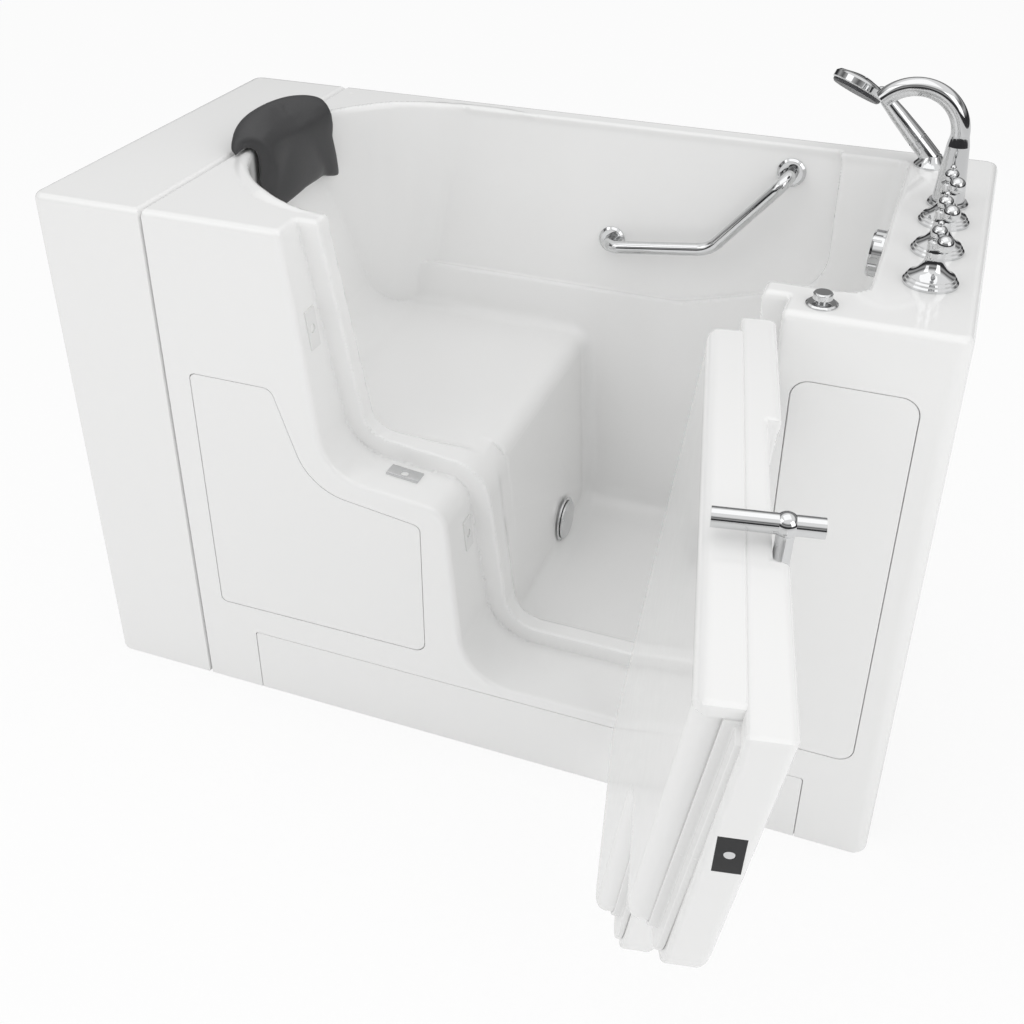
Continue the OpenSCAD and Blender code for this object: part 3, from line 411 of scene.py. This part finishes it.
def mesh_of(name, p, tris, quads):
    """A mesh from an array of places with its quads and then its triangles."""
    mesh = bpy.data.meshes.new(name)
    tris = np.asarray(tris, np.int32).reshape(-1, 3)
    quads = np.asarray(quads, np.int32).reshape(-1, 4)
    mesh.vertices.add(len(p))
    mesh.vertices.foreach_set("co", p.astype(np.float32).ravel())
    mesh.loops.add(4 * len(quads) + 3 * len(tris))
    mesh.loops.foreach_set("vertex_index", np.concatenate([quads.ravel(), tris.ravel()]))
    mesh.polygons.add(len(quads) + len(tris))
    starts = np.concatenate([np.arange(len(quads)) * 4, 4 * len(quads) + np.arange(len(tris)) * 3])
    mesh.polygons.foreach_set("loop_start", starts.astype(np.int32))
    mesh.update(calc_edges=True)
    return mesh


def cut_away(piece, cutters):
    """The piece's mesh less every closed cutter, one boolean difference after another."""
    tools = []
    for number, (points, faces) in enumerate(cutters):
        cutter_mesh = bpy.data.meshes.new("%s_cut_%d" % (piece.name, number))
        cutter_mesh.from_pydata([tuple(map(float, q)) for q in points], [], faces)
        shaper = bmesh.new()
        shaper.from_mesh(cutter_mesh)
        bmesh.ops.recalc_face_normals(shaper, faces=shaper.faces)
        bmesh.ops.triangulate(shaper, faces=shaper.faces)
        shaper.to_mesh(cutter_mesh)
        shaper.free()
        tool = bpy.data.objects.new(cutter_mesh.name, cutter_mesh)
        scene.collection.objects.link(tool)
        tools.append(tool)
        difference = piece.modifiers.new("cut", "BOOLEAN")
        difference.operation = "DIFFERENCE"
        difference.solver = "MANIFOLD"
        difference.object = tool
    bpy.context.view_layer.update()
    uncut = piece.data
    finished = piece.evaluated_get(bpy.context.evaluated_depsgraph_get())
    cut_mesh = bpy.data.meshes.new_from_object(finished)
    piece.modifiers.clear()
    piece.data = cut_mesh
    bpy.data.meshes.remove(uncut)
    for tool in tools:
        cutter_mesh = tool.data
        bpy.data.objects.remove(tool)
        bpy.data.meshes.remove(cutter_mesh)


def slope_normals(mesh, form, reach=35.0):
    """A normal for each face corner: the form's gradient over its length, or the face's own normal where the
    two are more than reach degrees apart."""
    co = np.empty(len(mesh.vertices) * 3, np.float32)
    mesh.vertices.foreach_get("co", co)
    g = slope(form, co.reshape(-1, 3).astype(float))
    g /= np.maximum(np.linalg.norm(g, axis=1, keepdims=True), 1e-6)
    index = np.empty(len(mesh.loops), np.int32)
    mesh.loops.foreach_get("vertex_index", index)
    face_n = np.empty(len(mesh.polygons) * 3, np.float32)
    mesh.polygons.foreach_get("normal", face_n)
    sizes = np.empty(len(mesh.polygons), np.int32)
    mesh.polygons.foreach_get("loop_total", sizes)
    of_face = np.repeat(face_n.reshape(-1, 3), sizes, axis=0)
    n = g[index]
    off = (n * of_face).sum(1) < math.cos(math.radians(reach))
    n[off] = of_face[off]
    return n


def moulded(node, form, low, high, step, join, cutters, place):
    """A gelcoat piece from a form: surfaced, cut, flats within join degrees made one face, put in its place
    and shaded by the form's gradient. The box from low to high keeps the grid's planes off the flat faces."""
    name = "seen_" + node
    piece = bpy.data.objects.new(name, mesh_of(name, *surfaced(form, low, high, step)))
    scene.collection.objects.link(piece)
    if cutters:
        cut_away(piece, cutters)
    mesh = piece.data
    if join:
        shaper = bmesh.new()
        shaper.from_mesh(mesh)
        bmesh.ops.dissolve_limit(shaper, angle_limit=math.radians(join), verts=shaper.verts,
                                 edges=shaper.edges)
        shaper.to_mesh(mesh)
        shaper.free()
    mesh.polygons.foreach_set("use_smooth", np.ones(len(mesh.polygons), bool))
    normals = slope_normals(mesh, form)
    turn = np.array(place.to_3x3().normalized())
    mesh.transform(place)
    mesh.materials.clear()
    mesh.materials.append(gelcoat)
    mesh.normals_split_custom_set((normals @ turn.T).tolist())
    mesh.update()
    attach(piece, nodes[node]["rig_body"])
    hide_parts(node)


tub_length = 1524.0
tub_width = 750.0
deck_height = 1000.0
form_top = deck_height + 10.0
corner_radius = 22.0
deck_edge = 12.0
rim_edge = 9.0
seam_x = 222.0
site = Matrix.Scale(0.001, 4) @ Matrix.Translation((-tub_length / 2.0, -tub_width / 2.0, 0.0))


def leaning(rim, draft, z):
    """A point (place, z) on a wall that stands at rim at the deck and moves by draft for each mm below it."""
    return rim + draft * (deck_height - z), z


head_rim = 240.0
foot_rim = 1377.0
front_rim = 95.0
back_rim = 706.0
head_draft = 0.21
foot_draft = -0.07
front_draft = 0.10
back_draft = -0.05
seat_height = 560.0
floor_height = 150.0
well_length = 508.0
riser_rake = 24.0
well_fillet = 30.0
panel_rise = 15.0
panel_low = 600.0
recess_top = deck_height + 12.0
head_radius = (back_rim - front_rim) / 2.0
riser_foot = leaning(foot_rim, foot_draft, floor_height)[0] - well_length
well_side = outline([leaning(head_rim, head_draft, form_top), leaning(head_rim, head_draft, seat_height),
                     (riser_foot - riser_rake, seat_height), (riser_foot, floor_height),
                     leaning(foot_rim, foot_draft, floor_height), leaning(foot_rim, foot_draft, form_top)],
                    [0, 90, 34, 36, 60, 0])
well_end = outline([leaning(front_rim, front_draft, form_top), leaning(front_rim, front_draft, floor_height),
                    leaning(back_rim - panel_rise, back_draft, floor_height),
                    leaning(back_rim - panel_rise, back_draft, form_top)], [0, 50, 60, 0])
well_deep = outline([leaning(front_rim, front_draft, form_top), leaning(front_rim, front_draft, panel_low),
                     leaning(back_rim, back_draft, panel_low), leaning(back_rim, back_draft, form_top)],
                    [0, 0, 0, 0])
well_recess = outline([(head_rim - 20.0, recess_top), (head_rim - 20.0, deck_height - 340.0),
                       (foot_rim - 400.0, deck_height - 342.0), (foot_rim - 118.0, deck_height - 268.0),
                       (foot_rim - 122.0, recess_top)], [0, 0, 160, 90, 0])
well_far = foot_rim + 0.6
head_arc = head_radius - 1.0
well_plan = outline([(head_rim, front_rim), (well_far, front_rim), (well_far, back_rim),
                     (head_rim, back_rim)], [head_arc, 60, 60, head_arc])


def well_void(x, y, z):
    """The bathing space: its long outline met with its cross outline by a wide fillet, and above the raised
    back panel widened to the back rim."""
    across = depth(well_end, y, z)
    back = both(both(depth(well_deep, y, z), depth(well_recess, x, z), 5.0), tub_width / 2.0 - y, 1.0)
    across = either(across, back, 5.0)
    return both(both(depth(well_side, x, z), across, well_fillet), depth(well_plan, x, y), 1.0)


side_jamb = 479.0
side_lean = 0.105
leg_jamb = 781.0
hinge_jamb = 1268.0
sill_height = 160.0
seat_sill = 540.0
sill_fall = 12.0
side_foot = 48.0
leg_foot = 31.0
rebate_depth = 57.0
rebate_step = 38.0
through_depth = front_rim + 60.0
gap_points = [leaning(side_jamb, side_lean, form_top), (side_jamb + side_foot, seat_sill + sill_fall),
              (leg_jamb - leg_foot, seat_sill - sill_fall), (leg_jamb, sill_height),
              (hinge_jamb, sill_height), (hinge_jamb, form_top)]
gap_radii = [0, 85, 40, 100, 80, 0]
gap_outer = outline(gap_points, gap_radii)
gap_inner = outline(grown(gap_points, [-rebate_step] * 5 + [0.0]),
                    grown_radii(gap_points, gap_radii, -rebate_step))


def behind_front(y, z):
    """Depth behind the leaning front: y less the front's draft for each mm below the deck."""
    return y - front_draft * (deck_height - z)


def doorway_void(x, y, z):
    """The doorway: the rebate for the door's leaf in front, joined with the smaller opening behind it."""
    lean = behind_front(y, z)
    outer = both(depth(gap_outer, x, z), lean - rebate_depth, 2.0)
    inner = np.maximum(both(depth(gap_inner, x, z), lean - through_depth, 1.0), -40.0 - y)
    return either(outer, inner, 5.0)


void_fillet = 7.0
lip_radius = 11.0
lip_height = deck_height - 4.0
lip_start = 100.0
lip_fade = 24.0
head_x = head_rim + head_radius
head_y = (back_rim + front_rim) / 2.0
deck_plan = outline([(-400, 0), (tub_length, 0), (tub_length, tub_width), (-400, tub_width)],
                    [0, corner_radius, corner_radius, 0])


def tub_body(x, y, z):
    """The block with the head end's rolled lip, a ring that sinks away at its ends, less the well and the
    doorway, their rims rounded."""
    body = both(depth(deck_plan, x, y), z - deck_height, deck_edge)
    q = np.hypot(x - head_x, y - head_y)
    lip = np.hypot(q - (head_radius + lip_radius), z - lip_height) - lip_radius
    a = np.degrees(np.arctan2(y - head_y, x - head_x))
    fade = np.clip((np.abs(a) - lip_start) / lip_fade, 0.0, 1.0)
    body = either(body, lip + lip_radius * (1.0 - fade), rim_edge)
    void = either(well_void(x, y, z), doorway_void(x, y, z), void_fillet)
    return both(both(body, -void, rim_edge), seam_x - x, 1.0)


shell_skin = 11.0
apron_depth = 45.0
apron_low = 941.0


def tub_form(x, y, z):
    """The body as a skin, open below. Behind the apron and under the deck's skirt only the well's own wall is
    left."""
    s = tub_body(x, y, z)
    skin = np.maximum(np.maximum(s, -(s + shell_skin)), -z)
    void = either(well_void(x, y, z), doorway_void(x, y, z), void_fillet)
    behind = np.maximum(np.maximum(apron_depth - y, z - apron_low), shell_skin - void)
    return np.maximum(skin, -behind)


panel_cut = (-4.0, 14.0)
left_opening = loop_of([(270.5, 707.5), (270.5, 200.5), (703.5, 202.5), (703.5, 488.3), (493.0, 518.6),
                        (432.9, 707.5)], [12, 12, 22, 14, 110, 20])
right_opening = loop_of([(1293.5, 205.5), (1474.5, 205.5), (1474.5, 899.5), (1293.5, 899.5)], [28] * 4)
kick_opening = loop_of([(338.5, -21.5), (1402.5, -21.5), (1402.5, 141.5), (338.5, 141.5)], [0, 0, 6, 6])
drain_hole = rod((740.0, 485.0, floor_height + 58.0), (1, 0, 0), 120.0, 30.5)
overflow_hole = rod((1320.0, 440.0, deck_height - 80.0), (1, 0, 0), 70.0, 23.6)
tap_x = tub_length - 72.0
tap_y = 170.0
tap_pitch = 122.0
shank_hole = 11.0
switch_hole = 11.5
holder_place = (foot_rim + 33.0, tub_width - 69.0)
switch_place = (hinge_jamb + 49.0, 43.0)
deck_holes = [(*holder_place, shank_hole), (*switch_place, switch_hole)]
deck_holes += [(tap_x, tap_y + tap_pitch * k, shank_hole) for k in range(3)]
deck_holes += [(tap_x, tap_y + tap_pitch * 2.0 + 84.0, shank_hole)]
tub_cutters = [prism(opening, *panel_cut) for opening in (left_opening, right_opening, kick_opening)]
tub_cutters += [drain_hole, overflow_hole]
tub_cutters += [rod((x, y, deck_height - 25.0), (0, 0, 1), 50.0, r) for x, y, r in deck_holes]
moulded("tub_shell", tub_form, (205, -17, -11), (1543, 769, 1027), step=6.0, join=0.4, cutters=tub_cutters,
        place=site)

# ---------------------------------------------------------------------------
# Extension panel: the separate deck and end piece at the head, moulded like
# the shell and screwed to it beside a narrow seam.
# ---------------------------------------------------------------------------
extension_length = 218.0
extension_skin = 9.0
seam_radius = 331.5
end_plan = outline([(0, 0), (extension_length, 0), (extension_length, tub_width), (0, tub_width)],
                   [corner_radius, 0, 0, corner_radius])


def extension_form(x, y, z):
    """A block with rounded deck edges less the disc round the head end, as a skin, open below, at the back
    and at the seam."""
    body = both(depth(end_plan, x, y), z - deck_height, deck_edge)
    body = both(body, seam_radius - np.hypot(x - head_x, y - head_y), 3.0)
    behind = np.maximum(np.maximum(apron_depth - y, z - apron_low), extension_skin - x)
    return np.maximum(np.maximum(np.maximum(body, -(body + extension_skin)), -z), -behind)


moulded("extension_panel", extension_form, (-11.5, -11.5, -11.5), (231, 763, 1013), step=5.0, join=0.4,
        cutters=[], place=site)


# ---------------------------------------------------------------------------
# Apron panels: flat gelcoat covers that close the service openings, held by
# clips behind their edges, a narrow dark gap all round.
# ---------------------------------------------------------------------------
def dressed(node, material, bevel=0.0, steps=2):
    """A merged copy of a CAD node in its material: flat faces joined again, edges past 32 degrees kept sharp
    or rounded by bevel metres, and round faces shaded smooth."""
    sharp = math.radians(32.0)
    source = nodes[node]
    mesh = source.data.copy()
    mesh.name = "seen_" + node
    mesh.materials.clear()
    mesh.materials.append(material)
    bm = bmesh.new()
    bm.from_mesh(mesh)
    bmesh.ops.remove_doubles(bm, verts=bm.verts, dist=2e-5)
    bmesh.ops.dissolve_limit(bm, angle_limit=math.radians(0.6), verts=bm.verts, edges=bm.edges)
    for face in bm.faces:
        face.smooth = True
        face.material_index = 0
    for edge in bm.edges:
        edge.smooth = len(edge.link_faces) == 2 and edge.calc_face_angle(0.0) < sharp
    bm.to_mesh(mesh)
    bm.free()
    piece = bpy.data.objects.new("seen_" + node, mesh)
    scene.collection.objects.link(piece)
    if bevel:
        rounding = piece.modifiers.new("rounded_edges", "BEVEL")
        rounding.width = bevel
        rounding.segments = steps
        rounding.limit_method = "ANGLE"
        rounding.angle_limit = sharp
        rounding.harden_normals = True
        rounding.use_clamp_overlap = True
    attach(piece, source["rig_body"])
    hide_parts(node)
    return piece


for panel in ("access_panel_left", "access_panel_right", "kick_panel"):
    dressed(panel, panel_gelcoat, 0.0008)

# ---------------------------------------------------------------------------
# Door: two mouldings, the outer one with a wide flange, the inner one a plug
# that stands inside the doorway. They are glued together round the seal and
# hang open on two hinges.
# ---------------------------------------------------------------------------
door_open = 102.2
hinge_tilt = 1.5
pivot = Vector((hinge_jamb + 4.0, -7.0, deck_height))
lean_turn = Matrix.Rotation(math.radians(hinge_tilt), 4, "Y")
door_place = (site @ Matrix.Translation(pivot) @ lean_turn @ Matrix.Rotation(math.radians(door_open), 4, "Z")
              @ lean_turn.inverted() @ Matrix.Translation(-pivot))

door_gap = 4.0
side_gap = 7.5
leg_gap = 21.5
flange_width = 58.0
flange_depth = 48.0
leaf_edge = 11.0
leaf_skin = 8.0
plug_step = 47.0
plug_depth = 92.0
cap_depth = plug_depth - 1.0
cap_overhang = 6.0
cap_low = 978.0
plug_edge = 16.0
plug_skin = 9.0
top_edge = 8.0
door_top = deck_height - 3.0
leaf_points = [(side_jamb + 0.3, door_top)] + gap_points[1:5] + [(hinge_jamb, door_top)]
leaf_gaps = [side_gap, door_gap, leg_gap, door_gap, door_gap]
plug_gaps = [plug_step, plug_step, plug_step + 10.0, plug_step, plug_step]
plug_radii = [0, 85, 40, 130, 90, 0]
leaf = outline(grown(leaf_points, [-g for g in leaf_gaps] + [0.0]),
               grown_radii(leaf_points, gap_radii, -door_gap))
leaf_hollow = outline(grown(leaf_points, [-g - flange_width for g in leaf_gaps] + [-60.0]),
                      grown_radii(leaf_points, gap_radii, -door_gap - flange_width))
plug = outline(grown(leaf_points, [-g for g in plug_gaps] + [0.0]),
               grown_radii(leaf_points, plug_radii, -plug_step))
plug_wide = outline(grown(leaf_points, [cap_overhang - g for g in plug_gaps] + [0.0]),
                    grown_radii(leaf_points, plug_radii, cap_overhang - plug_step))
scoop_left = 738.0
scoop_right = 1008.0
scoop_low = 900.0
scoop_top = deck_height + 30.0
scoop_depth = 10.0
scoop_lean = 0.098
scoop_face = outline([(scoop_left, scoop_low), (scoop_right, scoop_low), (scoop_right, scoop_top),
                      (scoop_left, scoop_top)], [40, 40, 0, 0])


def door_outer_form(x, y, z):
    """The outer leaf: its outline met with the leaning front and back faces by rounded edges, less a shallow
    scoop at the top and the hollow behind."""
    lean = behind_front(y, z)
    body = both(depth(leaf, x, z), -lean, leaf_edge)
    body = both(body, lean - flange_depth, 5.0)
    scoop = both(depth(scoop_face, x, z), y - scoop_depth - scoop_lean * (z - (scoop_low - 1.0)), 6.0)
    body = both(body, -scoop, 4.0)
    body = both(body, z - door_top, 6.0)
    hollow = both(depth(leaf_hollow, x, z), leaf_skin - lean, 3.0)
    return np.maximum(body, -hollow)


def door_inner_form(x, y, z):
    """The plug: its outline met with its back face by a wide fillet, joined with a wider cap along the top,
    and hollow inside."""
    lean = behind_front(y, z)
    body = both(depth(plug, x, z), lean - plug_depth, plug_edge)
    body = both(body, z - door_top, top_edge)
    body = np.maximum(body, flange_depth - lean)
    hollow = np.maximum(body + plug_skin, flange_depth - 8.0 - lean)
    cap = both(both(depth(plug_wide, x, z), lean - cap_depth, plug_edge - 2.0), z - door_top, top_edge)
    cap = np.maximum(np.maximum(cap, flange_depth - 2.0 - lean), cap_low - z)
    return np.maximum(either(body, cap, 6.0), -hollow)


handle_hole = rod((hinge_jamb - 502.0, 8.0, door_top - 57.0), (0, 0, 1), 70.0, 10.3)
bolt_line = 24.0
bolt_hole = 6.3
side_bolt_z = deck_height - 185.0
leg_bolt_z = deck_height - 565.0
side_bolt_x = leaning(side_jamb, side_lean, side_bolt_z)[0] - 6.0
seat_bolt_x = side_jamb + 166.0
leg_bolt_x = leg_jamb - 6.0
side_bolt_y = leaning(bolt_line, front_draft, side_bolt_z)[0]
seat_bolt_y = leaning(bolt_line, front_draft, seat_sill)[0]
leg_bolt_y = leaning(bolt_line, front_draft, leg_bolt_z)[0]
bolt_holes = [rod((side_bolt_x, side_bolt_y, side_bolt_z), (1, 0, 0), 60.0, bolt_hole),
              rod((seat_bolt_x, seat_bolt_y, seat_sill - 10.0), (0, 0, 1), 62.0, bolt_hole),
              rod((leg_bolt_x, leg_bolt_y, leg_bolt_z), (1, 0, 0), 60.0, bolt_hole)]
plate_half = 29.5
plate_sink = 3.0
plate_out = -12.0
plate_corners = ((plate_out, -plate_half), (plate_sink, -plate_half), (plate_sink, plate_half),
                 (plate_out, plate_half))
plate_edge = [leaning(side_jamb + side_gap + d, side_lean, side_bolt_z + rise) for d, rise in plate_corners]
plate_recess = prism(plate_edge, 28.0, 57.0)
moulded("door_outer_shell", door_outer_form, (470.5, -12.5, 150.5), (1280, 150, 1006), step=5.0, join=0.0,
        cutters=[handle_hole, plate_recess] + bolt_holes, place=door_place)
moulded("door_inner_shell", door_inner_form, (470.5, 40.5, 150.5), (1280, 192, 1008), step=5.0, join=0.0,
        cutters=[], place=door_place)

# ---------------------------------------------------------------------------
# Door seal: a pale rubber ring with a round bulb, pressed on behind the flange.
# At the top it ends lower, where the plug's cap covers it.
# ---------------------------------------------------------------------------
seal_rubber = varied_material("pale_rubber", (0.88, 0.88, 0.875), 0.0, (0.2, 0.3), 90.0, 0.0001)
seal_end = 0.965
seal_drop = 0.024
seal = dressed("door_seal", seal_rubber, 0.003, 3)
seal_co = np.empty(len(seal.data.vertices) * 3, np.float32)
seal.data.vertices.foreach_get("co", seal_co)
seal_co = seal_co.reshape(-1, 3)
seal_co[seal_co[:, 2] > seal_end, 2] -= seal_drop
seal.data.vertices.foreach_set("co", seal_co.ravel())
seal.data.update()

# ---------------------------------------------------------------------------
# Frame and feet: welded square steel tube, bright lock nuts and black rubber
# pads on threaded studs.
# ---------------------------------------------------------------------------
brushed = varied_material("brushed_steel", (0.55, 0.56, 0.57), 1.0, (0.28, 0.42), 160.0, 0.0001)
foot_black = varied_material("black_foot_rubber", (0.03, 0.03, 0.03), 0.0, (0.5, 0.7), 120.0, 0.0002)
dressed("support_frame", brushed)
for corner in ("front_left", "front_right", "back_left", "back_right", "middle"):
    dressed("foot_nut_" + corner, brushed, 0.0006)
    dressed("foot_" + corner, foot_black)

# ---------------------------------------------------------------------------
# Waste pipe: grey plastic pipe from the riser drain and the overflow, with the
# tailpiece under the seat.
# ---------------------------------------------------------------------------
waste_grey = varied_material("waste_plastic", (0.60, 0.60, 0.59), 0.0, (0.35, 0.5), 60.0, 0.0001)
dressed("waste_pipe", waste_grey)

# ---------------------------------------------------------------------------
# Chrome: the taps, the knob, the bars, the hinges, the bolts and the seat's
# strike are polished brass with bright chrome plate. Those with flat edges have
# them rounded a little.
# ---------------------------------------------------------------------------
chrome = varied_material("polished_chrome", (0.70, 0.705, 0.71), 1.0, (0.03, 0.07), 70.0)
for node in ("strike_seat", "latch_bolt_side", "latch_bolt_seat", "latch_bolt_leg",
             "hinge_jamb_upper", "hinge_jamb_lower", "hinge_door_upper", "hinge_door_lower",
             "hinge_pin_upper", "hinge_pin_lower", "drain_plug", "drain_body",
             "overflow_body", "overflow_knob", "spout_base", "shower_holder", "air_switch_base",
             "air_switch_button", "grab_flange_low", "grab_flange_high"):
    dressed(node, chrome, 0.0006)
for node in ("grab_bar", "door_handle", "spout", "shower_hand", "valve_front", "valve_middle",
             "valve_back", "handle_front", "handle_middle", "handle_back"):
    dressed(node, chrome)

# ---------------------------------------------------------------------------
# Strikes and latch plate: the two jamb strikes are white enamelled, the latch
# plate is let into the door's free edge and finished black.
# ---------------------------------------------------------------------------
white_enamel = varied_material("white_enamel", (0.84, 0.84, 0.835), 0.0, (0.15, 0.22), 120.0, 0.0001)
for node in ("strike_side", "strike_leg"):
    dressed(node, white_enamel, 0.0006)
black_plate = varied_material("black_oxide_steel", (0.022, 0.022, 0.023), 0.6, (0.28, 0.40), 150.0, 0.0001)
dressed("latch_plate", black_plate, 0.0004)

# ---------------------------------------------------------------------------
# Shower face: a disc of matt dark plastic with small rubber nozzles, set into
# the head of the hand shower.
# ---------------------------------------------------------------------------
face_dark = varied_material("dark_spray_face", (0.05, 0.05, 0.055), 0.0, (0.3, 0.45), 200.0, 0.0001)
dressed("shower_face", face_dark)

# ---------------------------------------------------------------------------
# Head cushion: a soft moulded foam pad with a charcoal skin, draped over the
# head rim. Its swell is simulated as cloth under pressure.
# ---------------------------------------------------------------------------
cushion_skin = varied_material("charcoal_foam_skin", (0.048, 0.048, 0.050), 0.0, (0.42, 0.55), 260.0, 0.0003)
pad_grain = 0.005
pad_shrink = 0.003
swell_force = 4.0
swell_limit = 0.005
swell_frames = 20
pad_mesh = nodes["pillow"].data.copy()
pad_mesh.name = "seen_head_cushion"
pad_mesh.materials.clear()
pad_mesh.materials.append(cushion_skin)
shaper = bmesh.new()
shaper.from_mesh(pad_mesh)
bmesh.ops.remove_doubles(shaper, verts=shaper.verts, dist=2e-5)
shaper.to_mesh(pad_mesh)
shaper.free()
cushion = bpy.data.objects.new("seen_head_cushion", pad_mesh)
scene.collection.objects.link(cushion)
remesh = cushion.modifiers.new("voxels", "REMESH")
remesh.mode = "VOXEL"
remesh.voxel_size = pad_grain
calm = cushion.modifiers.new("calm", "SMOOTH")
calm.factor = 0.5
calm.iterations = 10
bpy.context.view_layer.update()
pad_mesh = bpy.data.meshes.new_from_object(cushion.evaluated_get(bpy.context.evaluated_depsgraph_get()))
cushion.modifiers.clear()
cushion.data = pad_mesh
pad_co = np.empty(len(pad_mesh.vertices) * 3, np.float32)
pad_mesh.vertices.foreach_get("co", pad_co)
pad_n = np.empty_like(pad_co)
pad_mesh.vertices.foreach_get("normal", pad_n)
pad_co -= pad_n * pad_shrink
pad_mesh.vertices.foreach_set("co", pad_co)
pad_mesh.update()
swell = cushion.modifiers.new("swell", "CLOTH")
swell.settings.use_pressure = True
swell.settings.uniform_pressure_force = swell_force
swell.settings.effector_weights.gravity = 0.0
swell.settings.quality = 5
for step_frame in range(1, swell_frames + 1):
    scene.frame_set(step_frame)
swollen = cushion.evaluated_get(bpy.context.evaluated_depsgraph_get()).to_mesh()
swollen_co = np.empty_like(pad_co)
swollen.vertices.foreach_get("co", swollen_co)
moved = (swollen_co - pad_co).reshape(-1, 3)
moved -= moved.mean(0)
reach = np.linalg.norm(moved, axis=1, keepdims=True)
moved *= np.minimum(1.0, swell_limit / np.maximum(reach, 1e-6))
cushion.modifiers.clear()
scene.frame_set(1)
pad_mesh.vertices.foreach_set("co", (pad_co.reshape(-1, 3) + moved).astype(np.float32).ravel())
pad_mesh.materials.clear()
pad_mesh.materials.append(cushion_skin)
pad_mesh.polygons.foreach_set("use_smooth", np.ones(len(pad_mesh.polygons), bool))
pad_mesh.update()
finer = cushion.modifiers.new("finer", "SUBSURF")
finer.levels = 1
finer.render_levels = 1
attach(cushion, nodes["pillow"]["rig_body"])
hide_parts("pillow")
